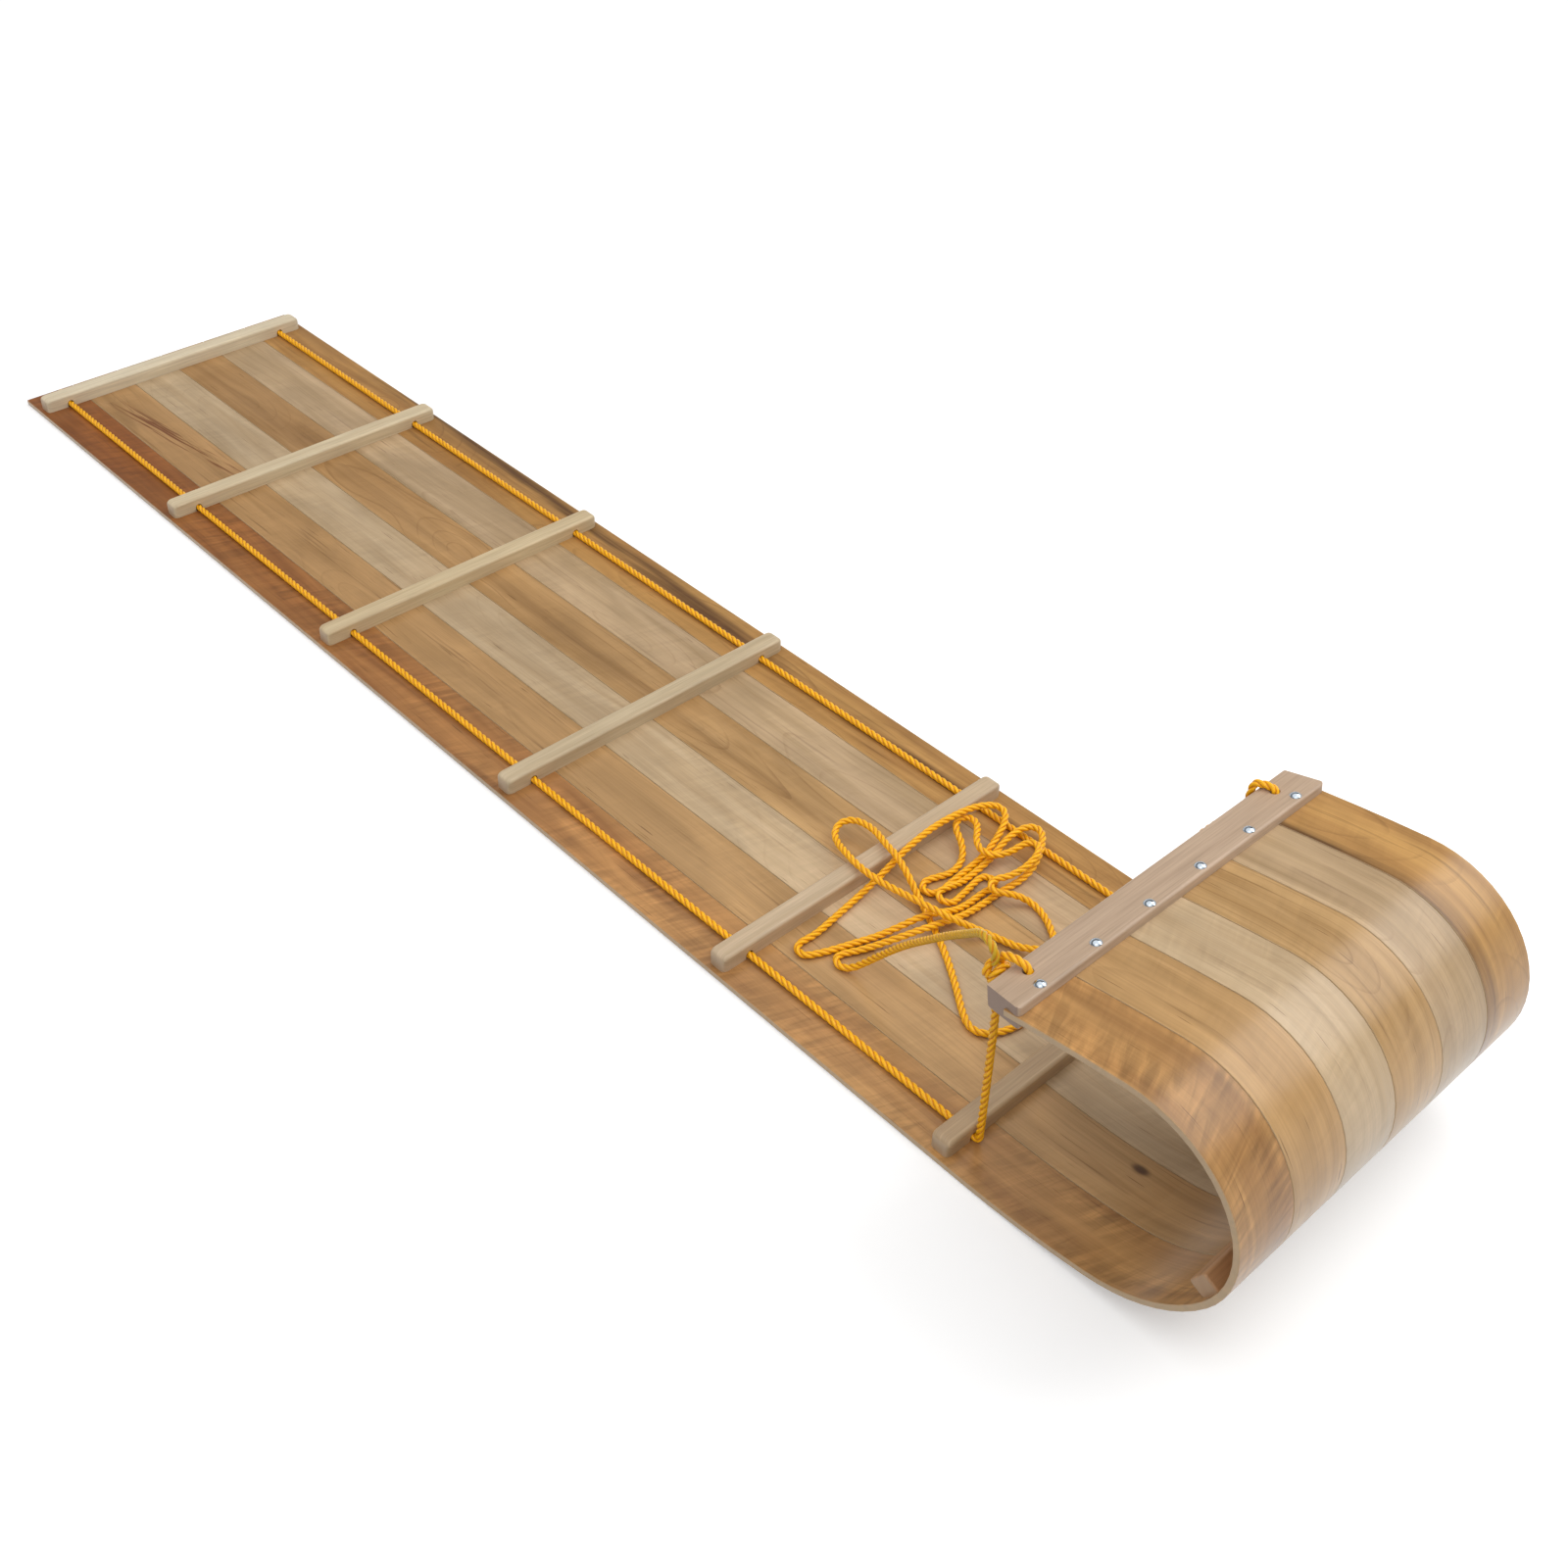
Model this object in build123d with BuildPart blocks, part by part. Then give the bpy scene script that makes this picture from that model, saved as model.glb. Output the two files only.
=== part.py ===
from build123d import *
import math
import os

# Wooden toboggan: thin hardwood slats, bent up and back over at the nose, under crossbars that hold
# them side by side, with a grooved head bar on the slats' ends, a rope along each side and a pull rope.
# Millimetres. +X points at the nose and +Z is up. The origin is on the floor, under the middle of
# the overall length.

# Slats
SLAT_COUNT = 6
SLAT_WIDTH = 75.7
SLAT_GAP = 0.6
SLAT_THICKNESS = 7.0
SLAT_EASE = 0.6
FLAT_LENGTH = 1987.0

# Curl of the slats' middle line, from the bed to the head bar
SWEEP_RADIUS = 900.0
RISE_RADIUS = 173.5
NOSE_RADIUS = 120.5
CROWN_RADIUS = 2250.0
CURL_ARCS = [
    # radius, turn in degrees
    (SWEEP_RADIUS, 10.0),
    (RISE_RADIUS, 49.5),
    (NOSE_RADIUS, 127.5),
    (CROWN_RADIUS, 3.0),
]

# Crossbars
CROSSBAR_LENGTH = 444.0
CROSSBAR_WIDTH = 25.0
CROSSBAR_HEIGHT = 20.0
CROSSBAR_EASE = 4.0
CROSSBAR_END_EASE = 2.5
TAIL_TO_FIRST_CROSSBAR = 48.0
LAST_CROSSBAR_SPACING = 330.0
LAST_CROSSBAR_TO_CURL = 33.0
# How far forward of its even place each one before the last was set by hand
CROSSBAR_SHIFTS = [0.0, 0.0, 8.5, 7.5, 0.0]
CURL_BAR_TURN = 63.0

# Head bar
HEAD_DEPTH = 44.0
HEAD_LIP_ABOVE = 10.5
HEAD_LIP_BELOW = 6.5
HEAD_GROOVE_DEPTH = 18.0
HEAD_GROOVE_CLEARANCE = 0.2
HEAD_EASE = 3.0
HEAD_HEEL_EASE = 6.0
HEAD_END_TAPER = 7.0
HEAD_CORNER_EASE = 4.0
HEAD_HOLE_DIAMETER = 11.0
HEAD_HOLE_SETBACK = 27.5

# Ropes
ROPE_DIAMETER = 8.5
ROPE_INSET = 44.3
ROPE_LIFT = 0.3
BEND_SHARE = 0.45
NOTCH_CLEARANCE = 0.75
RISE_SETOFF = 7.0
RISE_BEND = 9.0
RISE_END_RUN = 12.0
LOOP_BEND = 7.0
LOOP_CLEARANCE = 0.5
KNOT_DEPTH = 20.0
KNOT_WIDTH = 30.0
KNOT_HEIGHT = 22.0
KNOT_EASE = 5.0
KNOT_SETOFF = 1.3
TAIL_KNOT_DIAMETER = 18.0
TAIL_KNOT_LENGTH = 16.0
TAIL_KNOT_EASE = 3.0
PULL_START_OUTBOARD = 3.7
PULL_START_RUN = 8.5
PULL_END_RUN = 12.0

# Sides of the toboggan, each with its rope
ROPE_SIDES = [
    # name, side of the centreline, knot above the head bar's heel, knot outboard of the rope hole, and how
    # far outboard of the knot's middle the loop's upper leg, its lower leg and the side rope come in
    ("near", -1, 13.0, 9.0, -5.7, -5.7, 5.7),
    ("far", 1, -28.0, -10.0, -5.2, 5.2, 0.0),
]

# Route of the pull rope between its two knots, chosen by eye: how far each point is forward of the fifth
# crossbar, its place across the bed, and how far the rope is lifted there off the bed
PULL_ROPE_CROSSBAR = 4
PULL_ROPE_ROUTE = [
    # arch from the near knot down to the bed, and the fold there
    (341.5, -196.5, 274.5), (330.5, -193, 276.5), (315.5, -185, 265.5), (292.5, -169, 235.5),
    (254.5, -147, 189.5), (211.5, -128, 137.5), (169.5, -114, 87.5), (135.5, -109, 43.5),
    (115.5, -112, 17.5), (103.5, -117, 4), (94, -122.5, 0), (84, -123, 0), (77, -115.5, 0), (79.5, -105, 0),
    # along the bed to the far side, over the long loop
    (87, -91, 0), (97.5, -66, 2), (112.5, -38, 10.5), (123.5, -4, 11.5), (127.5, 36, 2), (127.5, 73, 0),
    (127.5, 101, 0), (131.5, 127, 2), (128.5, 151, 7.5),
    # bight over the far side rope, and back into the pile
    (116.5, 175, 13), (102.5, 193, 14), (87.5, 194, 14), (79.5, 179, 13), (80, 152, 11.5), (85, 127, 4.5),
    (86, 100, 0), (88.5, 70, 1), (88, 47, 8.5), (86.5, 34.5, 9.5), (92.5, 27, 9.5), (102, 27, 8.5),
    (108.5, 35, 6.5),
    # short bight in the middle of the pile
    (104.5, 49, 3), (99.5, 73, 0), (97, 85.5, 0), (96, 95, 0), (101.5, 102, 0), (110.5, 102.5, 0),
    (117, 96, 0), (115, 78, 0),
    # over the long loop again, to the bight nearest the tail
    (117, 48, 1), (116.5, 27, 5.5), (110.5, 8, 11.5), (102.5, -12, 11.5), (93.5, -35, 4.5), (84.5, -62, 0),
    (74.5, -90, 0), (66.5, -114, 0), (59.5, -130.5, 0), (54, -140, 0), (45, -142.5, 0), (37.5, -137.5, 0),
    (35.5, -128, 0), (38, -109.5, 0),
    # up along the crossbar and round the far corner
    (32.5, -73, 0), (26.5, -28, 1), (23.5, 11, 8.5), (21, 50, 21.5), (17.5, 100, 23.5), (22, 148, 23.5),
    (30.5, 173, 21.5), (39.5, 184.5, 19), (50.5, 185.5, 16), (60.5, 174, 13), (69, 152, 8.5),
    # down to the pile and back up to the narrow bight
    (75, 126, 2), (77, 97, 0), (79.5, 64, 0), (82.5, 45, 0), (77.5, 31.5, 0), (64.5, 30, 0), (58, 42, 0),
    (62.5, 56, 0), (68.5, 71, 0), (67.5, 88, 0), (60.5, 104, 3), (45.5, 116, 7.5), (31.5, 122, 10.5),
    (22, 131, 12), (20.5, 141, 13), (26.5, 149, 13), (36.5, 149.5, 13),
    # over two strands to the far side, and down again
    (46.5, 142, 14), (58.5, 126, 15), (71.5, 116, 16), (85.5, 115, 16), (95.5, 125, 15), (99.5, 141, 14),
    (100.5, 155, 15), (105, 165, 18), (114.5, 168, 20.5), (123.5, 161, 20.5), (128.5, 148, 19.5),
    (129.5, 128, 16), (125, 109, 13), (118.5, 97, 13), (117.5, 86.5, 13), (124, 79, 13), (133.5, 79.5, 13),
    (140.5, 87, 12), (149.5, 98, 7.5), (161.5, 105.5, 2), (177.5, 105, 0), (196.5, 97, 0),
    # wide turn under the head bar
    (221.5, 80, 0), (252.5, 55, 0), (273.5, 12, 0), (276.5, -32, 0), (270.5, -60, 0), (260.5, -77, 0),
    (244.5, -83.5, 0), (223.5, -73, 0),
    # long loop: under the pile, over the crossbar, round and back over the pile
    (198.5, -54, 0), (161.5, -29, 0), (126.5, -9, 0), (94.5, 7, 0), (72.5, 15, 5.5), (50.5, 21, 17.5),
    (26.5, 27, 26), (2.5, 33, 24.5), (-27, 43.5, 21.5), (-57, 43, 16.5), (-67, 27.5, 13.5), (-57, 8.5, 13.5),
    (-36.5, -2.5, 16), (-22.5, -8, 21), (2.5, -15, 23), (36.5, -15, 22), (69.5, -9.5, 22.5), (102.5, -4, 24),
    (133.5, 4, 21), (154.5, 25, 6.5), (178.5, 38, 0), (204.5, 43, 3),
    # over the wide turn and up to the far knot
    (231.5, 58, 11.5), (258.5, 82, 9.5), (279.5, 112, 0), (292.5, 137, 9.5), (299.5, 151, 41.5),
    (304.5, 161, 90.5), (306.5, 167, 137.5), (309.5, 171, 175.5), (314.5, 174, 194.5),
]

# Worked out from the sizes above
BED_WIDTH = SLAT_COUNT * SLAT_WIDTH + (SLAT_COUNT - 1) * SLAT_GAP
BED_TOP = SLAT_THICKNESS
ROPE_RADIUS = ROPE_DIAMETER / 2
ROPE_Y = BED_WIDTH / 2 - ROPE_INSET
ROPE_Z = BED_TOP + ROPE_LIFT + ROPE_RADIUS
NOTCH_WIDTH = ROPE_DIAMETER + 2 * NOTCH_CLEARANCE
GROOVE_HALF = SLAT_THICKNESS / 2 + HEAD_GROOVE_CLEARANCE
HEAD_TOP = GROOVE_HALF + HEAD_LIP_ABOVE
HEAD_BOTTOM = -GROOVE_HALF - HEAD_LIP_BELOW


def curl_reach():
    """How far the nose stands in front of the flat bed."""
    reach, heading = 0.0, 0.0
    for radius, turn in CURL_ARCS:
        end = min(heading + turn, 90.0)
        if end > heading:
            reach += radius * (math.sin(math.radians(end)) - math.sin(math.radians(heading)))
        heading += turn
    return reach + SLAT_THICKNESS / 2


OVERALL_LENGTH = FLAT_LENGTH + curl_reach()
TAIL_X = -OVERALL_LENGTH / 2
CURL_START_X = TAIL_X + FLAT_LENGTH
CURL_TURN = sum(turn for radius, turn in CURL_ARCS)


def bend_point(turn):
    """Place of the slats' middle line, as x and z, where it has turned by this many degrees."""
    x, z, heading = CURL_START_X, SLAT_THICKNESS / 2, 0.0
    for radius, arc_turn in CURL_ARCS:
        start = math.radians(heading)
        end = math.radians(min(heading + arc_turn, max(turn, heading)))
        x += radius * (math.sin(end) - math.sin(start))
        z += radius * (math.cos(start) - math.cos(end))
        heading += arc_turn
    return x, z


def bend_radius(turn):
    """Radius of the slats' middle line where it has turned by this many degrees."""
    heading = 0.0
    for radius, arc_turn in CURL_ARCS:
        heading += arc_turn
        if turn <= heading:
            return radius


def direction(turn):
    """Unit vector along the slats, tail to head, where they have turned by this many degrees."""
    return Vector(math.cos(math.radians(turn)), 0, math.sin(math.radians(turn)))


def bend_radii(points):
    """Radius at each corner of a rope's route: as large as its two runs leave room for."""
    runs = [after - before for before, after in zip(points, points[1:])]
    radii = []
    for run, following in zip(runs, runs[1:]):
        half_turn = math.radians(run.get_angle(following) / 2)
        radii.append(BEND_SHARE * min(run.length, following.length) / math.tan(half_turn))
    return radii


def tube(path, diameter):
    """Round bar along a path of straight runs and arcs."""
    with BuildPart() as round_bar:
        with BuildSketch(Plane(origin=path @ 0, z_dir=path % 0)):
            Circle(diameter / 2)
        sweep(path=path)
    return round_bar.part


def finish(piece, label):
    """Name a finished piece and write it."""
    piece.label = label
    export_step(piece, f"parts/{label}.step")


# Plane of the head bar's section: x runs back from its front face along the slats, y away from the curl
HEAD_X, HEAD_Z = bend_point(CURL_TURN)
HEAD_PLANE = Plane(origin=(HEAD_X, 0, HEAD_Z), x_dir=direction(CURL_TURN), z_dir=(0, 1, 0))
HEAD_PLAN = Plane(origin=HEAD_PLANE.origin, x_dir=HEAD_PLANE.x_dir, z_dir=HEAD_PLANE.y_dir)

FIRST_CROSSBAR_X = TAIL_X + TAIL_TO_FIRST_CROSSBAR
LAST_CROSSBAR_X = CURL_START_X - LAST_CROSSBAR_TO_CURL
EVEN_SPACING = (LAST_CROSSBAR_X - LAST_CROSSBAR_SPACING - FIRST_CROSSBAR_X) / (len(CROSSBAR_SHIFTS) - 1)
CROSSBAR_X = [FIRST_CROSSBAR_X + EVEN_SPACING * i + shift for i, shift in enumerate(CROSSBAR_SHIFTS)]
CROSSBAR_X.append(LAST_CROSSBAR_X)


def slat(centre_y):
    """One slat: flat bed, curl and the tongue in the head bar's groove."""
    with BuildPart() as piece:
        with BuildSketch(Plane.XZ.offset(-centre_y)):
            with BuildLine():
                ends = []
                for side in (-1, 1):
                    lift = side * SLAT_THICKNESS / 2
                    level = SLAT_THICKNESS / 2 + lift
                    run = Line((TAIL_X, level), (CURL_START_X, level))
                    tail_end = run @ 0
                    for radius, turn in CURL_ARCS:
                        run = JernArc(start=run @ 1, tangent=run % 1, radius=radius - lift, arc_size=turn)
                    tongue = HEAD_GROOVE_DEPTH - HEAD_GROOVE_CLEARANCE
                    run = Line(run @ 1, run @ 1 + (run % 1) * tongue)
                    ends.append((tail_end, run @ 1))
                Line(ends[0][0], ends[1][0])
                Line(ends[0][1], ends[1][1])
            make_face()
        extrude(amount=SLAT_WIDTH / 2, both=True)
        chamfer(piece.faces().filter_by(Axis.Y).edges(), SLAT_EASE)
    return piece.part


def crossbar(centre_x):
    """Square-ended bar across the bed, notched underneath where the side ropes pass."""
    with BuildPart() as piece:
        with BuildSketch(Plane.XZ) as section:
            with Locations((centre_x, BED_TOP)):
                Rectangle(CROSSBAR_WIDTH, CROSSBAR_HEIGHT, align=(Align.CENTER, Align.MIN))
            fillet(section.vertices().group_by(Axis.Y)[-1], CROSSBAR_EASE)
        extrude(amount=CROSSBAR_LENGTH / 2, both=True)
        end_edges = piece.faces().filter_by(Axis.Y).edges()
        fillet(end_edges.filter_by(lambda edge: edge.center().Z > BED_TOP + SLAT_EASE), CROSSBAR_END_EASE)
        with BuildSketch(Plane.YZ.offset(centre_x)):
            with Locations((-ROPE_Y, BED_TOP), (ROPE_Y, BED_TOP)):
                Rectangle(NOTCH_WIDTH, NOTCH_WIDTH / 2, align=(Align.CENTER, Align.MIN))
            with Locations((-ROPE_Y, BED_TOP + NOTCH_WIDTH / 2), (ROPE_Y, BED_TOP + NOTCH_WIDTH / 2)):
                Circle(NOTCH_WIDTH / 2)
        extrude(amount=CROSSBAR_WIDTH, both=True, mode=Mode.SUBTRACT)
    return piece.part


def curl_bar():
    """Bar across the inside of the curl, its underside bent to the slats."""
    x, z = bend_point(CURL_BAR_TURN)
    tangent = direction(CURL_BAR_TURN)
    inward = direction(CURL_BAR_TURN + 90)
    seat = Plane(
        origin=Vector(x, 0, z) + inward * (SLAT_THICKNESS / 2),
        x_dir=tangent,
        z_dir=(0, -1, 0),
    )
    hollow_radius = bend_radius(CURL_BAR_TURN) - SLAT_THICKNESS / 2
    half = CROSSBAR_WIDTH / 2
    sag = hollow_radius - math.sqrt(hollow_radius**2 - half**2)
    with BuildPart() as piece:
        with BuildSketch(seat) as section:
            with BuildLine():
                ThreePointArc((-half, sag), (0, 0), (half, sag))
                Polyline((half, sag), (half, CROSSBAR_HEIGHT), (-half, CROSSBAR_HEIGHT), (-half, sag))
            make_face()
            fillet(section.vertices().group_by(Axis.Y)[-1], CROSSBAR_EASE)
        extrude(amount=CROSSBAR_LENGTH / 2, both=True)
        end_edges = piece.faces().filter_by(Axis.Y).edges()
        upper = end_edges.filter_by(lambda edge: seat.to_local_coords(edge.center()).Y > sag)
        fillet(upper, CROSSBAR_END_EASE)
    return piece.part


def head_bar():
    """Bar on the slats' ends: grooved in front, tapered at its ends, with a hole for each rope."""
    front_half = BED_WIDTH / 2
    back_half = front_half - HEAD_END_TAPER
    with BuildPart() as piece:
        with BuildSketch(HEAD_PLANE) as section:
            with BuildLine():
                Polyline(
                    (0, GROOVE_HALF),
                    (0, HEAD_TOP),
                    (HEAD_DEPTH, HEAD_TOP),
                    (HEAD_DEPTH, HEAD_BOTTOM),
                    (0, HEAD_BOTTOM),
                    (0, -GROOVE_HALF),
                    (HEAD_GROOVE_DEPTH, -GROOVE_HALF),
                    (HEAD_GROOVE_DEPTH, GROOVE_HALF),
                    close=True,
                )
            make_face()
            upper = section.vertices().group_by(Axis.Y)[-1]
            lower = section.vertices().group_by(Axis.Y)[0].sort_by(Axis.X)
            fillet(upper + [lower[0]], HEAD_EASE)
            heel = section.vertices().group_by(Axis.Y)[0].sort_by(Axis.X)[-1]
            fillet(heel, HEAD_HEEL_EASE)
        extrude(amount=BED_WIDTH / 2, both=True)
        with BuildSketch(HEAD_PLAN) as plan:
            with BuildLine():
                Polyline(
                    (0, -front_half),
                    (0, front_half),
                    (HEAD_DEPTH, back_half),
                    (HEAD_DEPTH, -back_half),
                    close=True,
                )
            make_face()
            fillet(plan.vertices(), HEAD_CORNER_EASE)
        extrude(amount=HEAD_DEPTH, both=True, mode=Mode.INTERSECT)
        with BuildSketch(HEAD_PLAN):
            with Locations((HEAD_HOLE_SETBACK, -ROPE_Y), (HEAD_HOLE_SETBACK, ROPE_Y)):
                Circle(HEAD_HOLE_DIAMETER / 2)
        extrude(amount=HEAD_DEPTH, both=True, mode=Mode.SUBTRACT)
    return piece.part


HEAD_HEEL = HEAD_PLANE.from_local_coords((HEAD_DEPTH, HEAD_BOTTOM))
HEAD_BROW = HEAD_PLANE.from_local_coords((HEAD_DEPTH, HEAD_TOP))


def knot_place(side, above_heel, outboard):
    """Middle of the knot behind the head bar, on one side."""
    return Vector(
        HEAD_BROW.X - KNOT_SETOFF - KNOT_DEPTH / 2,
        side * (ROPE_Y + outboard),
        HEAD_HEEL.Z + above_heel,
    )


def head_knot(side, above_heel, outboard, upper_leg, lower_leg):
    """Knot behind the head bar and the loop that ties it through the bar's hole."""
    middle = knot_place(side, above_heel, outboard)
    over = HEAD_TOP + LOOP_CLEARANCE + ROPE_RADIUS
    under = HEAD_BOTTOM - LOOP_CLEARANCE - ROPE_RADIUS
    behind = HEAD_DEPTH + KNOT_SETOFF + KNOT_DEPTH / 2
    upper_y = middle.Y + side * upper_leg
    lower_y = middle.Y + side * lower_leg
    back_top = HEAD_PLANE.from_local_coords((behind, over, upper_y))
    hole_top = HEAD_PLANE.from_local_coords((HEAD_HOLE_SETBACK, over, side * ROPE_Y))
    hole_bottom = HEAD_PLANE.from_local_coords((HEAD_HOLE_SETBACK, under, side * ROPE_Y))
    back_bottom = HEAD_PLANE.from_local_coords((behind, under, lower_y))
    upper_reach = math.copysign(KNOT_HEIGHT / 4, back_top.Z - middle.Z)
    lower_reach = math.copysign(KNOT_HEIGHT / 4, back_bottom.Z - middle.Z)
    with BuildLine() as loop:
        FilletPolyline(
            (back_top.X, upper_y, middle.Z + upper_reach),
            back_top,
            hole_top,
            hole_bottom,
            back_bottom,
            (back_bottom.X, lower_y, middle.Z + lower_reach),
            radius=LOOP_BEND,
        )
    with BuildPart() as piece:
        with Locations(middle):
            Box(KNOT_DEPTH, KNOT_WIDTH, KNOT_HEIGHT)
        fillet(piece.edges(), KNOT_EASE)
        add(tube(loop.wire(), ROPE_DIAMETER))
    return piece.part


def tail_knot(side):
    """Stopper knot on the rope's end, behind the last crossbar of the bed."""
    back = CROSSBAR_X[0] - CROSSBAR_WIDTH / 2
    lift = BED_TOP + ROPE_LIFT + TAIL_KNOT_DIAMETER / 2
    with BuildPart() as piece:
        with BuildSketch(Plane(origin=(back, side * ROPE_Y, lift), z_dir=(-1, 0, 0))):
            Circle(TAIL_KNOT_DIAMETER / 2)
        extrude(amount=TAIL_KNOT_LENGTH)
        fillet(piece.edges().filter_by(GeomType.CIRCLE), TAIL_KNOT_EASE)
    return piece.part


def side_rope(side, above_heel, outboard, rise):
    """Rope from the tail knot through every crossbar's notch and up to the head bar's knot."""
    knot = knot_place(side, above_heel, outboard)
    knot_under = knot.Z - KNOT_HEIGHT / 2
    knot_y = knot.Y + side * rise
    rise_x = CROSSBAR_X[-1] + CROSSBAR_WIDTH / 2 + RISE_SETOFF
    points = [
        Vector(CROSSBAR_X[0] - CROSSBAR_WIDTH / 2, side * ROPE_Y, ROPE_Z),
        Vector(rise_x, side * ROPE_Y, ROPE_Z),
        Vector(knot.X, knot_y, knot_under - RISE_END_RUN),
        Vector(knot.X, knot_y, knot_under),
    ]
    with BuildLine() as path:
        FilletPolyline(*points, radius=[RISE_BEND, bend_radii(points)[-1]])
    return tube(path.wire(), ROPE_DIAMETER)


def pull_rope():
    """Loose rope from the top of the near knot, in loops over the bed, to the back of the far knot."""
    near_knot, far_knot = (knot_place(*row[1:4]) for row in ROPE_SIDES)
    start = near_knot + Vector(0, -PULL_START_OUTBOARD, KNOT_HEIGHT / 2)
    end = far_knot - Vector(KNOT_DEPTH / 2, 0, 0)
    crossbar_x = CROSSBAR_X[PULL_ROPE_CROSSBAR]
    points = [start, start + Vector(0, 0, PULL_START_RUN)]
    points += [Vector(crossbar_x + forward, across, ROPE_Z + lift) for forward, across, lift in PULL_ROPE_ROUTE]
    points += [end - Vector(PULL_END_RUN, 0, 0), end]
    radii = bend_radii(points)
    with BuildLine() as path:
        FilletPolyline(*points, radius=radii)
    rope = tube(path.wire(), ROPE_DIAMETER)
    length = path.wire().length
    plain_volume = math.pi * ROPE_RADIUS**2 * length
    print("Pull rope's bends:", [round(radius, 1) for radius in radii])
    print(f"Pull rope: {length:.0f} mm long, {rope.volume / plain_volume:.4f} of its section times its length")
    return rope


os.makedirs("parts", exist_ok=True)

for i in range(SLAT_COUNT):
    offset_y = (i - (SLAT_COUNT - 1) / 2) * (SLAT_WIDTH + SLAT_GAP)
    finish(slat(offset_y), f"slat_{i + 1}")

for i, bar_x in enumerate(CROSSBAR_X):
    finish(crossbar(bar_x), f"crossbar_{i + 1}")

finish(curl_bar(), "curl_bar")
finish(head_bar(), "head_bar")

for name, side, above_heel, outboard, upper_leg, lower_leg, rise in ROPE_SIDES:
    finish(side_rope(side, above_heel, outboard, rise), f"side_rope_{name}")
    finish(head_knot(side, above_heel, outboard, upper_leg, lower_leg), f"head_knot_{name}")
    finish(tail_knot(side), f"tail_knot_{name}")

finish(pull_rope(), "pull_rope")
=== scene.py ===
"""Wooden toboggan: maple slats and bars, twisted yellow ropes and zinc-plated bolts, in a white studio."""

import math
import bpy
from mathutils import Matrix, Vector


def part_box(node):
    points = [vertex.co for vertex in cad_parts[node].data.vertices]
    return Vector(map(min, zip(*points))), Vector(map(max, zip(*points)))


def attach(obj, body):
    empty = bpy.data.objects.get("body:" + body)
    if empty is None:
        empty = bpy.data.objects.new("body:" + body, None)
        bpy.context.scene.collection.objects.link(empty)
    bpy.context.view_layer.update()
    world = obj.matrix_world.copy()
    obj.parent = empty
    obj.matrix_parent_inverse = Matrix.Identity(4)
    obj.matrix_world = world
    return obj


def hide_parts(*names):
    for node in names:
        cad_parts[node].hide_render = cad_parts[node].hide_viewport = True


bl_info = {
    "name": "Wooden Toboggan",
    "version": (1, 0, 0),
    "blender": (4, 5, 0),
    "location": "View3D > Sidebar > Toboggan",
    "description": "Finishes the toboggan's slats and bars and adds its ropes, knots, bolts and studio",
    "category": "Object",
}

import bmesh
import bpy
from mathutils import Euler, Matrix, Vector

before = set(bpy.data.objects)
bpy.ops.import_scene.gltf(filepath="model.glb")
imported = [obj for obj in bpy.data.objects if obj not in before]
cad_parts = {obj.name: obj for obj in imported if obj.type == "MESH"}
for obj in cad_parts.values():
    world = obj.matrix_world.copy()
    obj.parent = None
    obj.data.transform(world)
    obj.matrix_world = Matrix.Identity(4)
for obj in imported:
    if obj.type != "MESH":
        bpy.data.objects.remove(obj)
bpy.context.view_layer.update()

MM = 0.001
SLAT_COUNT = 6
CROSSBARS = [f"crossbar_{i + 1}" for i in range(6)]

# Middle of the nose's turn, and the mean radius that the slats follow round it
NOSE_X = 1017.4 * MM
NOSE_Z = 161.1 * MM
NOSE_RADIUS = 130.0 * MM

# Head bar: a point on its front edge at the slats' middle, and its slope, from the frame's section
HEAD_FRONT = Vector((886.2, 0.0, 263.3)) * MM
HEAD_SLOPE = math.radians(10.0)
HEAD_TOP = 14.2 * MM
HEAD_BOTTOM = -10.2 * MM
BOLT_SETBACK = 8.0 * MM

# Rope of three strands, and how finely its mesh follows them
STRANDS = 3
STRAND_SHARE = 0.58
POINTS_PER_STRAND = 10
STEPS_PER_LAY = 16

# Camera that matches the photograph's view
CAMERA_PLACE = Vector((1505.8, -1122.7, 1442.9)) * MM
CAMERA_TURN = Euler((math.radians(49.279), math.radians(-1.551), math.radians(47.190)))

# Slats, near side first
SLAT_PITCH = 76.3 * MM
SLAT_MIDDLES = [(i - (SLAT_COUNT - 1) / 2) * SLAT_PITCH for i in range(SLAT_COUNT)]
SLAT_SEED = 7.3
SLAT_LOOKS = [
    # tone, deep tone, shares of curly figure, growth rings and dark streaks, place of the rings' middle
    # across, share of the heartwood band, its place across at the nose, its drift across for each metre
    # along, and the painted shade, as a tint, that darkens the board towards the tail
    ("#BB8D56", "#9E7243", 0.9, 0.25, 0.20, 0.020, 0.12, 0.022, 0.0, "#CEA884"),
    ("#C29A68", "#AE8858", 0.15, 0.35, 0.80, -0.012, 0.0, 0.0, 0.0, "#F0EAE4"),
    ("#C5AB88", "#B59A76", 0.22, 0.20, 0.25, 0.030, 0.0, 0.0, 0.0, "#FFFFFF"),
    ("#C09A68", "#A88353", 0.15, 0.90, 0.50, 0.004, 0.25, 0.010, 0.006, "#F0E6DC"),
    ("#C1A480", "#AF936E", 0.18, 0.50, 0.35, -0.020, 0.15, -0.020, 0.010, "#FFFFFF"),
    ("#BB8F54", "#A27744", 0.20, 0.95, 0.60, 0.010, 0.95, -0.016, -0.033, "#FAF4E8"),
]
# Round knot in the second slat, where it starts to rise to the nose
BRANCH_SLAT = 2
BRANCH_ALONG = -55.0 * MM
BRANCH_ACROSS = -95.0 * MM
BRANCH_OVAL = (0.55, 1.0, 1.0)

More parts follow.
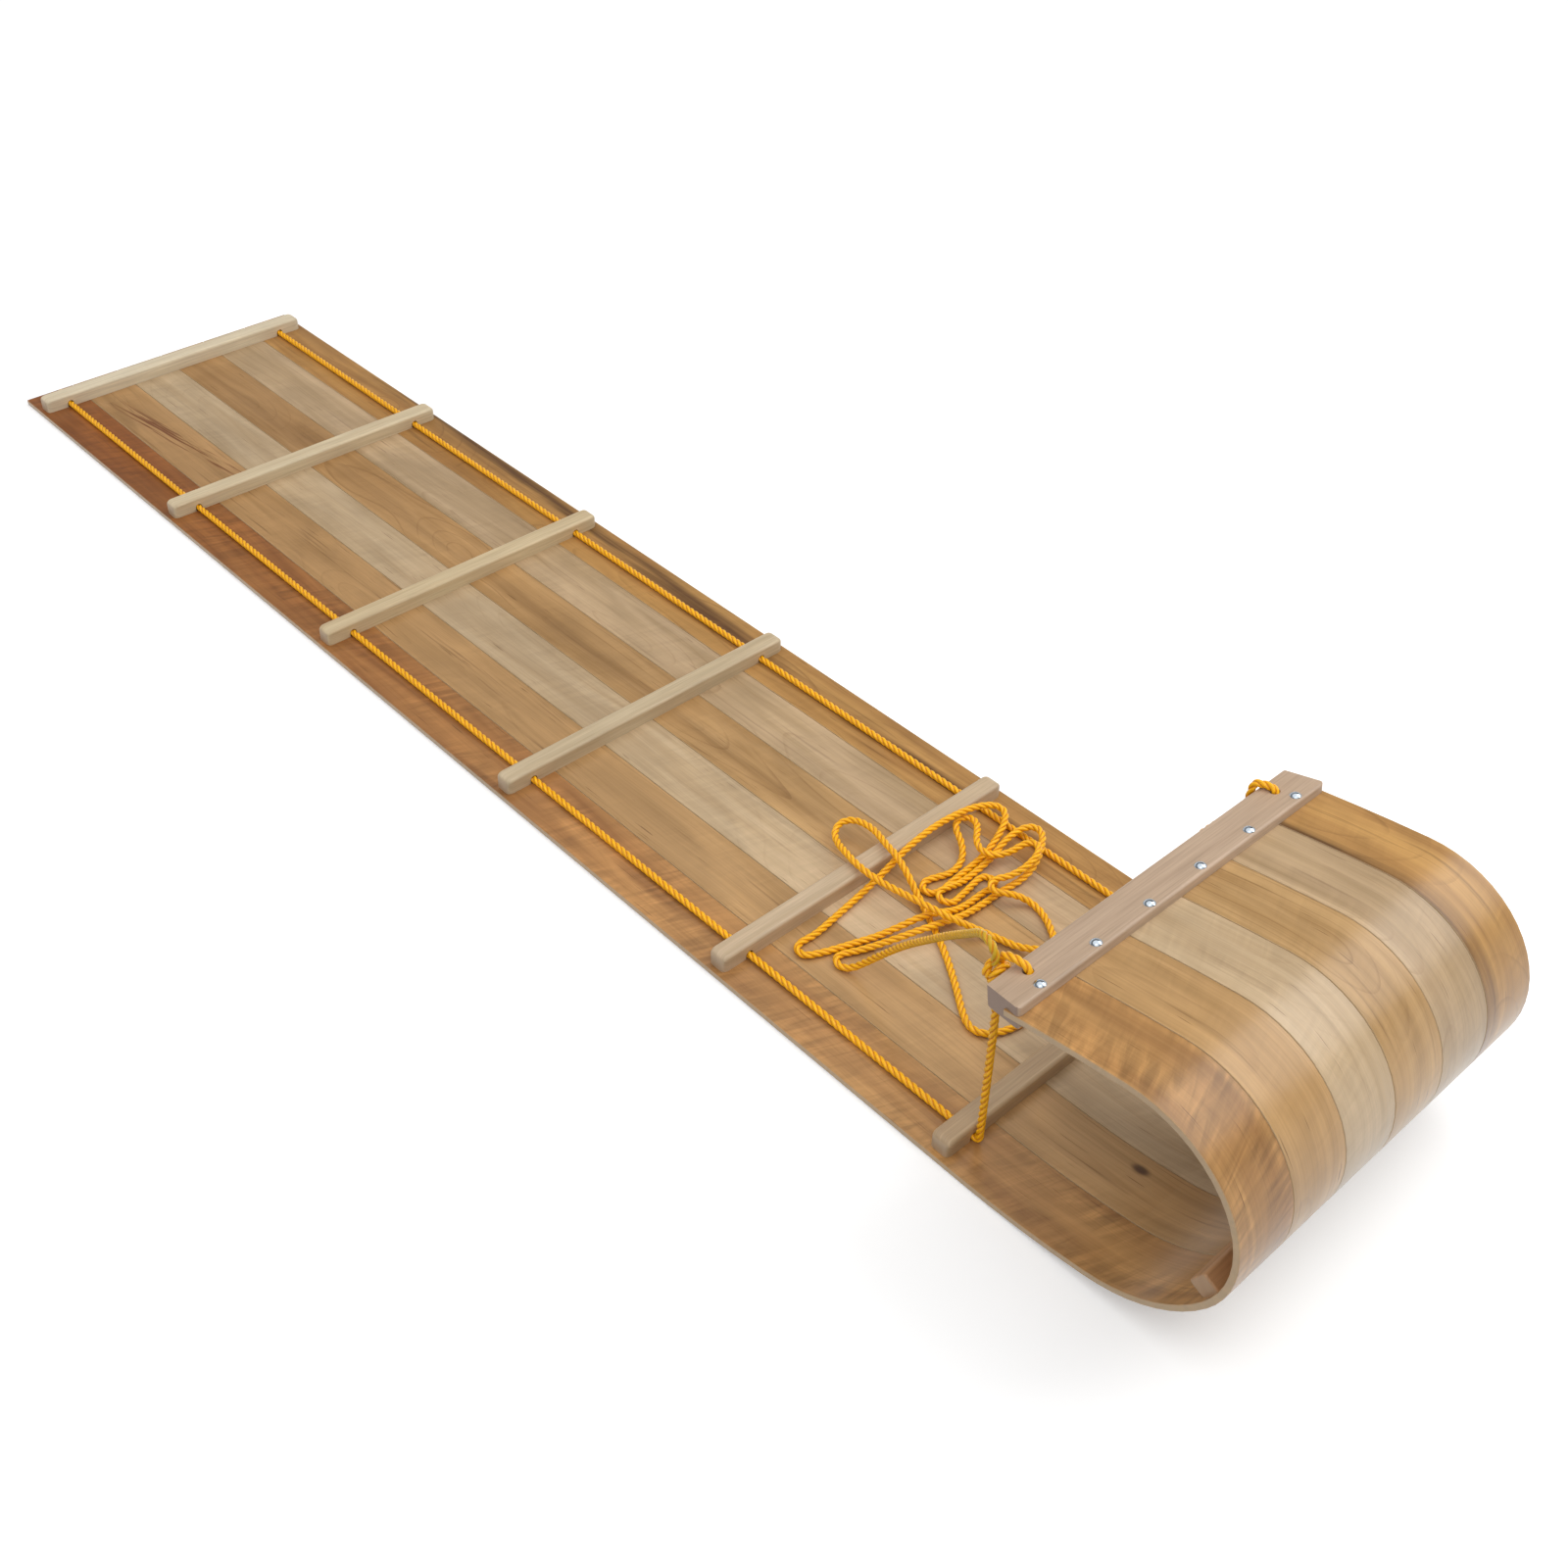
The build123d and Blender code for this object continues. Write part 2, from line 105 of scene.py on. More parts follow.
# Torn mineral streaks in the second slat near the tail, which run slantwise
STREAK_SLAT = 2
STREAK_ALONG = -1900.0 * MM
STREAK_ACROSS = 4.0 * MM
STREAK_SLANT = 0.13

# Figure of the slats: how far the grain wanders across, the range and the lowest of the heights at which
# the growth rings are cut, their spacing, and the curls' slant
GRAIN_WANDER = 16.0 * MM
CUT_RANGE = 260.0 * MM
CUT_LOWEST = -100.0 * MM
RING_SPACING = 13.0 * MM
CURL_SLANT = 0.40

# Tones that the slats share
HEARTWOOD = "#5E3F22"
LATE_WOOD = "#7C5730"
MINERAL = "#5F3D20"
BRANCH_KNOT = "#43240F"
TORN_STREAK = "#74401F"
# Paler tone painted on the slats' side faces as a painted highlight of their edges
PAINTED_EDGE_HIGHLIGHT = "#C9B08C"

# Rounding of the crossbars' ends: its reach, how far the top drops and each side comes in, and the shares
# of its reach at which it is cut
END_ROUND = 9.0 * MM
END_DROP = 6.0 * MM
END_NARROWING = 4.5 * MM
END_CUTS = [0.12, 0.28, 0.48, 0.72, 1.0]
MERGE_REACH = 0.01 * MM

# Crossbars, tail first, then the curl bar
BAR_TONES = [
    # tone, deep tone, end grain
    ("#DFD0B3", "#CFBB9A", "#B59B7E"),
    ("#D6C4A2", "#C5AE8A", "#B59B7E"),
    ("#D0BB95", "#BBA27B", "#B59B7E"),
    ("#C9B594", "#AE9876", "#B59B7E"),
    ("#C6AE8F", "#B29A7A", "#B59B7E"),
    ("#BDA27E", "#A08363", "#B59B7E"),
    ("#C0946A", "#A4774F", "#AE8C6A"),
]
HEAD_BAR_TONES = ("#BAA087", "#A98F76", "#8C7161")
BAR_SEED = 31.0
BAR_SEED_STEP = 4
HEAD_BAR_SEED = 71.0
BAR_GRAIN_SLOPE = 0.7

# Depth that the woods' and the ropes' bumps stand for
BUMP = 0.4 * MM

# Ropes' yarns: how much of the twist they undo, how many lie around, and how often they change in one lay
YARN_UNTWIST = 0.7
YARNS_AROUND = 26.0
YARN_CHANGES = 1.5

# Size of the clouds in the zinc plating
ZINC_CLOUD = 3.0 * MM

# Angles in degrees below which neighbouring faces are smooth
ROPE_SMOOTH = 50
BAR_SMOOTH = 35
BOLT_SMOOTH = 45
NUT_SMOOTH = 35

# Head bolts: the dome's facets and rim, the nut's height, edges and wall, and the bolt's end below it
DOME_FACETS = 40
DOME_RIM = 0.4 * MM
NUT_HEIGHT = 4.5 * MM
NUT_EDGE = 0.5 * MM
NUT_WALL = 2.4 * MM
BOLT_END = 3.0 * MM

# Bed screws: facets, height of the head and how far it stands out, its slanted rim, the drive hole in it,
# and how far the two on each slat stand from the middle, along and across
SCREW_FACETS = 20
SCREW_HEIGHT = 1.0 * MM
SCREW_PROUD = 0.15 * MM
SCREW_RIM = 0.35 * MM
SCREW_RIM_DEPTH = 0.1 * MM
SCREW_DRIVE_INSET = 1.6 * MM
SCREW_DRIVE_DEPTH = 0.8 * MM
SCREW_ALONG = 5.0 * MM
SCREW_ACROSS = 18.0 * MM

# Stopper knots: half the width and height of their turns, the turns, the points of one turn, how far
# behind the knot's front they start, and how much shorter than the knot they are
STOPPER_WIDE = 4.7 * MM
STOPPER_TALL = 3.4 * MM
STOPPER_TURNS = 1.25
STOPPER_POINTS = 8
STOPPER_START = 3.0 * MM
STOPPER_SHORTER = 7.5 * MM

# Normals below this count as facing down
FACING_DOWN = -0.9

# Studio: the floor's size, how far it lies below the sled and the grey that it bounces; the heights, as
# sines, between which the walls fade to the ceiling; the softbox; the camera's sensor
FLOOR_SIZE = 30.0
FLOOR_DROP = 1.0 * MM
FLOOR_BOUNCE = "#9A9A9A"
WALL_TOP = 0.15
CEILING_EDGE = 0.36
SOFTBOX_SIZE = 2.0
SOFTBOX_PLACE = (1.65, 1.65, 2.15)
SOFTBOX_AIM = Vector((1.05, 0.0, 0.28))
SENSOR_WIDTH = 36.0

# Settings of nodes: a mix of two colours, a colour times a tint, and a range with soft ends
BLEND = {"data_type": "RGBA"}
TINT = {"data_type": "RGBA", "blend_type": "MULTIPLY"}
SMOOTH = {"interpolation_type": "SMOOTHSTEP"}


def linear(hex_colour):
    """Linear RGBA of an sRGB hex colour."""
    parts = [int(hex_colour[i : i + 2], 16) / 255 for i in (1, 3, 5)]
    return [c / 12.92 if c <= 0.04045 else ((c + 0.055) / 1.055) ** 2.4 for c in parts] + [1.0]


def node(tree, kind, inputs=None, **settings):
    """Add one node with its settings; an input is a value, or a socket to link.

    Map Range has the value as input 0, the range it comes from as 1 and 2, and the range it goes to as 3
    and 4. Mix has the share as input 0 and the colours as 6 and 7, and gives the mixed colour as output 2.
    """
    made = tree.nodes.new(kind)
    for key, value in settings.items():
        setattr(made, key, value)
    for key, value in (inputs or {}).items():
        if isinstance(value, bpy.types.NodeSocket):
            tree.links.new(value, made.inputs[key])
        else:
            made.inputs[key].default_value = value
    return made


def new_material(name):
    """Empty node material with its output, as the tree and the surface shader."""
    material = bpy.data.materials.new(name)
    material.use_nodes = True
    tree = material.node_tree
    tree.nodes.clear()
    shader = node(tree, "ShaderNodeBsdfPrincipled")
    node(tree, "ShaderNodeOutputMaterial", {"Surface": shader.outputs[0]})
    return material, tree, shader


def board_coordinates(tree):
    """Length along a bent slat, from the nose's middle, and place across it, as two sockets in metres."""
    place = node(tree, "ShaderNodeTexCoord").outputs["Object"]
    axes = node(tree, "ShaderNodeSeparateXYZ", {0: place}).outputs
    forward = node(tree, "ShaderNodeMath", {0: axes[0], 1: NOSE_X}, operation="SUBTRACT").outputs[0]
    below = node(tree, "ShaderNodeMath", {0: NOSE_Z, 1: axes[2]}, operation="SUBTRACT").outputs[0]
    ahead = node(tree, "ShaderNodeMath", {0: forward, 1: 0.0}, operation="MAXIMUM").outputs[0]
    behind = node(tree, "ShaderNodeMath", {0: forward, 1: 0.0}, operation="MINIMUM").outputs[0]
    turn = node(tree, "ShaderNodeMath", {0: ahead, 1: below}, operation="ARCTAN2").outputs[0]
    side = node(tree, "ShaderNodeMath", {0: below}, operation="SIGN").outputs[0]
    flat = node(tree, "ShaderNodeMath", {0: side, 1: behind}, operation="MULTIPLY").outputs[0]
    along = node(tree, "ShaderNodeMath", {0: turn, 1: NOSE_RADIUS, 2: flat}, operation="MULTIPLY_ADD")
    return along.outputs[0], axes[1]


def stretched_noise(tree, along, across, seed, long_mm, wide_mm, detail, twist=0.0):
    """Noise in streaks of this length along the grain and this width across it, as a 0 to 1 socket."""
    length = node(tree, "ShaderNodeMath", {0: along, 1: 1000 / long_mm}, operation="MULTIPLY").outputs[0]
    width = node(tree, "ShaderNodeMath", {0: across, 1: 1000 / wide_mm}, operation="MULTIPLY").outputs[0]
    place = node(tree, "ShaderNodeCombineXYZ", {0: length, 1: width, 2: seed}).outputs[0]
    inputs = {"Vector": place, "Scale": 1.0, "Detail": detail, "Roughness": 0.55, "Distortion": twist}
    return node(tree, "ShaderNodeTexNoise", inputs).outputs[0]


def maple_slat(number, look):
    """Steam-bent maple under satin varnish: soft growth lines, curly figure, streaks and a clear coat."""
    tone, deep, curly, rings, streaks, middle, heart, heart_place, heart_drift, tail_shade_tint = look
    material, tree, shader = new_material(f"maple_slat_{number}")
    along, across = board_coordinates(tree)
    seed = SLAT_SEED * number
    centre = SLAT_MIDDLES[number - 1]

    # Grain that wanders a little across the board
    wander = stretched_noise(tree, along, across, seed, long_mm=420, wide_mm=60, detail=2.0)
    wandering = {0: wander, 1: GRAIN_WANDER, 2: across}
    drift = node(tree, "ShaderNodeMath", wandering, operation="MULTIPLY_ADD").outputs[0]

    # Broad bands of lighter and deeper wood
    broad = stretched_noise(tree, along, drift, seed + 1, long_mm=300, wide_mm=30, detail=2.0, twist=0.9)
    share = node(tree, "ShaderNodeMapRange", {0: broad, 1: 0.36, 2: 0.66, 3: 0.0, 4: 1.0}).outputs[0]
    colour = node(tree, "ShaderNodeMix", {0: share, 6: linear(tone), 7: linear(deep)}, **BLEND).outputs[2]

    # Slow change of tone along the board
    slow = stretched_noise(tree, along, across, seed + 6, long_mm=240, wide_mm=120, detail=3.0, twist=0.8)
    tint = node(tree, "ShaderNodeMapRange", {0: slow, 1: 0.32, 2: 0.68, 3: 0.84, 4: 1.10}).outputs[0]
    colour = node(tree, "ShaderNodeMix", {0: 1.0, 6: colour, 7: tint}, **TINT).outputs[2]

    # Painted shade: some boards are tinted deeper towards the tail, standing in for the light that falls off
    # there
    share = node(tree, "ShaderNodeMapRange", {0: along, 1: -0.2, 2: -1.9, 3: 0.0, 4: 1.0}).outputs[0]
    colour = node(tree, "ShaderNodeMix", {0: share, 6: colour, 7: linear(tail_shade_tint)}, **TINT).outputs[2]

    # Heartwood: a dark band that runs slantwise along the board and comes and goes
    slanted = {0: along, 1: -heart_drift, 2: drift}
    slant = node(tree, "ShaderNodeMath", slanted, operation="MULTIPLY_ADD").outputs[0]
    heart_middle = {0: slant, 1: centre + heart_place}
    offset = node(tree, "ShaderNodeMath", heart_middle, operation="SUBTRACT").outputs[0]
    offset = node(tree, "ShaderNodeMath", {0: offset}, operation="ABSOLUTE").outputs[0]
    band = node(
        tree,
        "ShaderNodeMapRange",
        {0: offset, 1: 0.004, 2: 0.019, 3: heart, 4: 0.0},
        **SMOOTH,
    ).outputs[0]
    patch = stretched_noise(tree, along, drift, seed + 7, long_mm=380, wide_mm=16, detail=3.0)
    patch = node(tree, "ShaderNodeMapRange", {0: patch, 1: 0.40, 2: 0.62, 3: 0.0, 4: 1.0}).outputs[0]
    band = node(tree, "ShaderNodeMath", {0: band, 1: patch}, operation="MULTIPLY").outputs[0]
    colour = node(tree, "ShaderNodeMix", {0: band, 6: colour, 7: linear(HEARTWOOD)}, **BLEND).outputs[2]

    # Growth rings: the board is cut at a changing height above the tree's middle, so they close in arches
    height = stretched_noise(tree, along, across, seed + 2, long_mm=480, wide_mm=400, detail=1.0)
    cut = {0: height, 1: CUT_RANGE, 2: CUT_LOWEST}
    height = node(tree, "ShaderNodeMath", cut, operation="MULTIPLY_ADD").outputs[0]
    offset = node(tree, "ShaderNodeMath", {0: drift, 1: centre + middle}, operation="SUBTRACT").outputs[0]
    spot = node(tree, "ShaderNodeCombineXYZ", {0: offset, 1: height}).outputs[0]
    ring = node(tree, "ShaderNodeVectorMath", {0: spot}, operation="LENGTH").outputs["Value"]
    ring = node(tree, "ShaderNodeMath", {0: ring, 1: 1 / RING_SPACING}, operation="MULTIPLY").outputs[0]
    phase = node(tree, "ShaderNodeMath", {0: ring}, operation="FRACT").outputs[0]
    late = node(
        tree,
        "ShaderNodeMapRange",
        {0: phase, 1: 0.84, 2: 0.98, 3: 0.0, 4: 0.45 * rings},
        **SMOOTH,
    ).outputs[0]
    shown = stretched_noise(tree, along, across, seed + 10, long_mm=190, wide_mm=60, detail=2.0)
    shown = node(tree, "ShaderNodeMapRange", {0: shown, 1: 0.42, 2: 0.60, 3: 0.15, 4: 1.0}).outputs[0]
    late = node(tree, "ShaderNodeMath", {0: late, 1: shown}, operation="MULTIPLY").outputs[0]
    colour = node(tree, "ShaderNodeMix", {0: late, 6: colour, 7: linear(LATE_WOOD)}, **BLEND).outputs[2]

    # Fine growth lines
    fine = stretched_noise(tree, along, drift, seed + 3, long_mm=150, wide_mm=1.8, detail=3.0)
    tint = node(tree, "ShaderNodeMapRange", {0: fine, 1: 0.30, 2: 0.70, 3: 0.92, 4: 1.07}).outputs[0]
    colour = node(tree, "ShaderNodeMix", {0: 1.0, 6: colour, 7: tint}, **TINT).outputs[2]

    # Curly figure: light and dark strokes, about 11 mm wide, that cross the grain at a slant and come and go
    slanted = {0: across, 1: -CURL_SLANT, 2: along}
    slant = node(tree, "ShaderNodeMath", slanted, operation="MULTIPLY_ADD").outputs[0]
    curl = stretched_noise(tree, slant, drift, seed + 4, long_mm=11, wide_mm=60, detail=3.0, twist=0.7)
    curl = node(tree, "ShaderNodeMapRange", {0: curl, 1: 0.36, 2: 0.68, 3: -0.9, 4: 1.0}).outputs[0]
    strength = stretched_noise(tree, along, across, seed + 9, long_mm=120, wide_mm=40, detail=2.0)
    strength = node(tree, "ShaderNodeMapRange", {0: strength, 1: 0.38, 2: 0.62, 3: 0.15, 4: 1.0}).outputs[0]
    curl = node(tree, "ShaderNodeMath", {0: curl, 1: strength}, operation="MULTIPLY").outputs[0]
    tint = node(
        tree,
        "ShaderNodeMapRange",
        {0: curl, 1: -1.0, 2: 1.0, 3: 1 - 0.26 * curly, 4: 1 + 0.34 * curly},
    ).outputs[0]
    colour = node(tree, "ShaderNodeMix", {0: 1.0, 6: colour, 7: tint}, **TINT).outputs[2]

    # Dark mineral streaks, and short dark flecks along the grain
    dark = stretched_noise(tree, along, drift, seed + 5, long_mm=260, wide_mm=8, detail=3.0)
    share = node(
        tree,
        "ShaderNodeMapRange",
        {0: dark, 1: 0.60, 2: 0.75, 3: 0.0, 4: 0.8 * streaks},
        **SMOOTH,
    ).outputs[0]
    fleck = stretched_noise(tree, along, drift, seed + 8, long_mm=60, wide_mm=2.2, detail=1.0)
    fleck = node(tree, "ShaderNodeMapRange", {0: fleck, 1: 0.735, 2: 0.78, 3: 0.0, 4: 0.6}).outputs[0]
    share = node(tree, "ShaderNodeMath", {0: share, 1: fleck}, operation="MAXIMUM").outputs[0]
    colour = node(tree, "ShaderNodeMix", {0: share, 6: colour, 7: linear(MINERAL)}, **BLEND).outputs[2]

    # Round knot left by a branch, dark in its middle and fading out
    if number == BRANCH_SLAT:
        east = node(tree, "ShaderNodeMath", {0: along, 1: BRANCH_ALONG}, operation="SUBTRACT").outputs[0]
        north = node(tree, "ShaderNodeMath", {0: across, 1: BRANCH_ACROSS}, operation="SUBTRACT").outputs[0]
        spot = node(tree, "ShaderNodeCombineXYZ", {0: east, 1: north}).outputs[0]
        spot = node(tree, "ShaderNodeVectorMath", {0: spot, 1: BRANCH_OVAL}, operation="MULTIPLY").outputs[0]
        reach = node(tree, "ShaderNodeVectorMath", {0: spot}, operation="LENGTH").outputs["Value"]
        share = node(
            tree,
            "ShaderNodeMapRange",
            {0: reach, 1: 1.5 * MM, 2: 8.5 * MM, 3: 0.85, 4: 0.0},
            interpolation_type="SMOOTHERSTEP",
        ).outputs[0]
        colour = node(
            tree,
            "ShaderNodeMix",
            {0: share, 6: colour, 7: linear(BRANCH_KNOT)},
            **BLEND,
        ).outputs[2]

    # Torn streaks in a slanting patch near the tail
    if number == STREAK_SLAT:
        slanted = {0: along, 1: -STREAK_SLANT, 2: across}
        slant = node(tree, "ShaderNodeMath", slanted, operation="MULTIPLY_ADD").outputs[0]
        marks = stretched_noise(tree, along, slant, seed + 11, long_mm=110, wide_mm=4, detail=2.0)
        marks = node(tree, "ShaderNodeMapRange", {0: marks, 1: 0.49, 2: 0.56, 3: 0.0, 4: 0.9}).outputs[0]
        apart = node(tree, "ShaderNodeMath", {0: along, 1: STREAK_ALONG}, operation="SUBTRACT").outputs[0]
        apart = node(tree, "ShaderNodeMath", {0: apart}, operation="ABSOLUTE").outputs[0]
        ends = node(tree, "ShaderNodeMapRange", {0: apart, 1: 0.11, 2: 0.18, 3: 1.0, 4: 0.0}).outputs[0]
        line = centre + STREAK_ACROSS - STREAK_SLANT * STREAK_ALONG
        aside = node(tree, "ShaderNodeMath", {0: slant, 1: line}, operation="SUBTRACT").outputs[0]
        aside = node(tree, "ShaderNodeMath", {0: aside}, operation="ABSOLUTE").outputs[0]
        sides = node(tree, "ShaderNodeMapRange", {0: aside, 1: 0.008, 2: 0.018, 3: 1.0, 4: 0.0}).outputs[0]
        share = node(tree, "ShaderNodeMath", {0: marks, 1: ends}, operation="MULTIPLY").outputs[0]
        share = node(tree, "ShaderNodeMath", {0: share, 1: sides}, operation="MULTIPLY").outputs[0]
        colour = node(
            tree,
            "ShaderNodeMix",
            {0: share, 6: colour, 7: linear(TORN_STREAK)},
            **BLEND,
        ).outputs[2]

    # Painted highlight: the slats' side faces are painted paler, where their edges catch the light
    facing = node(tree, "ShaderNodeNewGeometry").outputs["Normal"]
    sideways = node(tree, "ShaderNodeSeparateXYZ", {0: facing}).outputs[1]
    sideways = node(tree, "ShaderNodeMath", {0: sideways}, operation="ABSOLUTE").outputs[0]
    share = node(tree, "ShaderNodeMapRange", {0: sideways, 1: 0.3, 2: 0.9, 3: 0.0, 4: 0.7}).outputs[0]
    colour = node(tree, "ShaderNodeMix", {0: share, 6: colour, 7: linear(PAINTED_EDGE_HIGHLIGHT)}, **BLEND).outputs[2]

    roughness = node(tree, "ShaderNodeMapRange", {0: fine, 1: 0.3, 2: 0.7, 3: 0.30, 4: 0.40}).outputs[0]
    bump = node(tree, "ShaderNodeBump", {"Strength": 0.10, "Distance": BUMP, "Height": fine}).outputs[0]
    for key, value in {"Base Color": colour, "Roughness": roughness, "Normal": bump}.items():
        tree.links.new(value, shader.inputs[key])
    shader.inputs["IOR"].default_value = 1.5
    shader.inputs["Coat Weight"].default_value = 0.6
    shader.inputs["Coat Roughness"].default_value = 0.27
    shader.inputs["Specular IOR Level"].default_value = 0.15
    return material


def maple_bar(name, tone, deep, end_tone, seed):
    """Sanded maple bar under satin varnish: grain along its length, darker end grain."""
    material, tree, shader = new_material(name)
    place = node(tree, "ShaderNodeTexCoord").outputs["Object"]
    axes = node(tree, "ShaderNodeSeparateXYZ", {0: place}).outputs
    sloped = {0: axes[2], 1: BAR_GRAIN_SLOPE, 2: axes[0]}
    depth = node(tree, "ShaderNodeMath", sloped, operation="MULTIPLY_ADD").outputs[0]
    broad = stretched_noise(tree, axes[1], depth, seed, long_mm=180, wide_mm=9, detail=3.0)
    share = node(tree, "ShaderNodeMapRange", {0: broad, 1: 0.35, 2: 0.72, 3: 0.0, 4: 0.8}).outputs[0]
    colour = node(tree, "ShaderNodeMix", {0: share, 6: linear(tone), 7: linear(deep)}, **BLEND).outputs[2]
    fine = stretched_noise(tree, axes[1], depth, seed + 1, long_mm=70, wide_mm=1.8, detail=3.0)
    tint = node(tree, "ShaderNodeMapRange", {0: fine, 1: 0.3, 2: 0.7, 3: 0.86, 4: 1.10}).outputs[0]
    colour = node(tree, "ShaderNodeMix", {0: 1.0, 6: colour, 7: tint}, **TINT).outputs[2]
    facing = node(tree, "ShaderNodeNewGeometry").outputs["Normal"]
    sideways = node(tree, "ShaderNodeSeparateXYZ", {0: facing}).outputs[1]
    sideways = node(tree, "ShaderNodeMath", {0: sideways}, operation="ABSOLUTE").outputs[0]
    end_share = node(tree, "ShaderNodeMapRange", {0: sideways, 1: 0.75, 2: 0.95, 3: 0.0, 4: 0.85}).outputs[0]
    colour = node(tree, "ShaderNodeMix", {0: end_share, 6: colour, 7: linear(end_tone)}, **BLEND).outputs[2]
    bump = node(tree, "ShaderNodeBump", {"Strength": 0.15, "Distance": BUMP, "Height": fine}).outputs[0]
    tree.links.new(colour, shader.inputs["Base Color"])
    tree.links.new(bump, shader.inputs["Normal"])
    shader.inputs["Roughness"].default_value = 0.48
    shader.inputs["IOR"].default_value = 1.5
    shader.inputs["Coat Weight"].default_value = 0.1
    shader.inputs["Coat Roughness"].default_value = 0.3
    return material


def yellow_polypropylene(settings):
    """Twisted polypropylene film yarn: bright yellow strands, painted shade of deep orange in the grooves, a
    waxy sheen.
    """
    material, tree, shader = new_material("yellow_polypropylene")
    # Painted shade: a deeper orange painted into the grooves between the strands, by their depth
    groove = node(tree, "ShaderNodeAttribute", attribute_name="groove").outputs["Fac"]
    share = node(
        tree,
        "ShaderNodeMapRange",
        {0: groove, 1: 0.50, 2: 1.0, 3: 0.0, 4: 1.0},
        **SMOOTH,
    ).outputs[0]
    # Olive tint on the pull rope's first part, fading out along it; only a colour change
    fade = node(tree, "ShaderNodeAttribute", attribute_name="fade").outputs["Fac"]
    crest = node(
        tree,
        "ShaderNodeMix",
        {0: fade, 6: list(settings.colour) + [1.0], 7: list(settings.olive_colour) + [1.0]},
        **BLEND,
    ).outputs[2]
    colour = node(
        tree,
        "ShaderNodeMix",
        {0: share, 6: crest, 7: list(settings.groove_shade_colour) + [1.0]},
        **BLEND,
    ).outputs[2]

    # Yarns about half a millimetre wide, drawn at one so that they show; they lie nearly straight along
    # the rope
    lay = node(tree, "ShaderNodeUVMap", uv_map="lay").outputs[0]
    axes = node(tree, "ShaderNodeSeparateXYZ", {0: lay}).outputs
    untwisted = {0: axes[1], 1: YARN_UNTWIST, 2: axes[0]}
    around = node(tree, "ShaderNodeMath", untwisted, operation="MULTIPLY_ADD").outputs[0]
    around = node(tree, "ShaderNodeMath", {0: around, 1: YARNS_AROUND}, operation="MULTIPLY").outputs[0]
    length = node(tree, "ShaderNodeMath", {0: axes[1], 1: YARN_CHANGES}, operation="MULTIPLY").outputs[0]
    yarns = node(tree, "ShaderNodeCombineXYZ", {0: around, 1: length}).outputs[0]
    fibre = node(tree, "ShaderNodeTexNoise", {"Vector": yarns, "Scale": 1.0, "Detail": 2.0}).outputs[0]
    tint = node(tree, "ShaderNodeMapRange", {0: fibre, 1: 0.3, 2: 0.7, 3: 0.80, 4: 1.16}).outputs[0]
    colour = node(tree, "ShaderNodeMix", {0: 1.0, 6: colour, 7: tint}, **TINT).outputs[2]
    bump = node(tree, "ShaderNodeBump", {"Strength": 0.35, "Distance": BUMP, "Height": fibre}).outputs[0]
    tree.links.new(colour, shader.inputs["Base Color"])
    tree.links.new(bump, shader.inputs["Normal"])
    shader.inputs["Roughness"].default_value = 0.34
    shader.inputs["Specular IOR Level"].default_value = 0.35
    shader.inputs["IOR"].default_value = 1.49
    return material


def zinc_plated_steel():
    """Bright zinc plating on steel: cool silver, softly polished, with faint clouding."""
    material, tree, shader = new_material("zinc_plated_steel")
    place = node(tree, "ShaderNodeTexCoord").outputs["Object"]
    clouds = {"Vector": place, "Scale": 1 / ZINC_CLOUD, "Detail": 3.0}
    cloud = node(tree, "ShaderNodeTexNoise", clouds).outputs[0]
    colour = node(
        tree,
        "ShaderNodeMix",
        {0: cloud, 6: linear("#C9D2DA"), 7: linear("#A9B4BF")},
        **BLEND,
    ).outputs[2]
    roughness = node(tree, "ShaderNodeMapRange", {0: cloud, 1: 0.3, 2: 0.7, 3: 0.16, 4: 0.30}).outputs[0]
    tree.links.new(colour, shader.inputs["Base Color"])
    tree.links.new(roughness, shader.inputs["Roughness"])
    shader.inputs["Metallic"].default_value = 1.0
    return material


def metres(points):
    """Points given in millimetres, as vectors in metres."""
    return [Vector(point) * MM for point in points]


def dress(piece, material):
    """Give a piece one material."""
    piece.data.materials.clear()
    piece.data.materials.append(material)


def deselect():
    """Nothing selected and nothing being edited."""
    if bpy.context.mode != "OBJECT":
        bpy.ops.object.mode_set(mode="OBJECT")
    bpy.ops.object.select_all(action="DESELECT")


def add_piece(name, mesh, smooth_angle):
    """Object of a mesh, smooth where its faces meet at less than this angle in degrees."""
    piece = bpy.data.objects.new(name, mesh)
    bpy.context.scene.collection.objects.link(piece)
    deselect()
    piece.select_set(True)
    bpy.context.view_layer.objects.active = piece
    bpy.ops.object.shade_smooth_by_angle(angle=math.radians(smooth_angle))
    return piece


def rope_finish(settings):
    """Material of all the ropes, made at its first use."""
    return bpy.data.materials.get("yellow_polypropylene") or yellow_polypropylene(settings)


def bolt_finish():
    """Material of all the bolts and screws, made at its first use."""
    return bpy.data.materials.get("zinc_plated_steel") or zinc_plated_steel()


def smooth_line(points):
    """Points along the smooth curve that has these as its control points."""
    curve = bpy.data.curves.new("route", "CURVE")
    curve.dimensions = "3D"
    spline = curve.splines.new("NURBS")
    spline.points.add(len(points) - 1)
    for slot, point in zip(spline.points, points):
        slot.co = (*point, 1.0)
    spline.order_u = 3
    spline.use_endpoint_u = True
    spline.resolution_u = 40
    holder = bpy.data.objects.new("route", curve)
    bpy.context.scene.collection.objects.link(holder)
    bpy.context.view_layer.update()
    mesh = bpy.data.meshes.new_from_object(holder.evaluated_get(bpy.context.evaluated_depsgraph_get()))
    line = [vertex.co.copy() for vertex in mesh.vertices]
    bpy.data.objects.remove(holder)
    bpy.data.curves.remove(curve)
    bpy.data.meshes.remove(mesh)
    return line


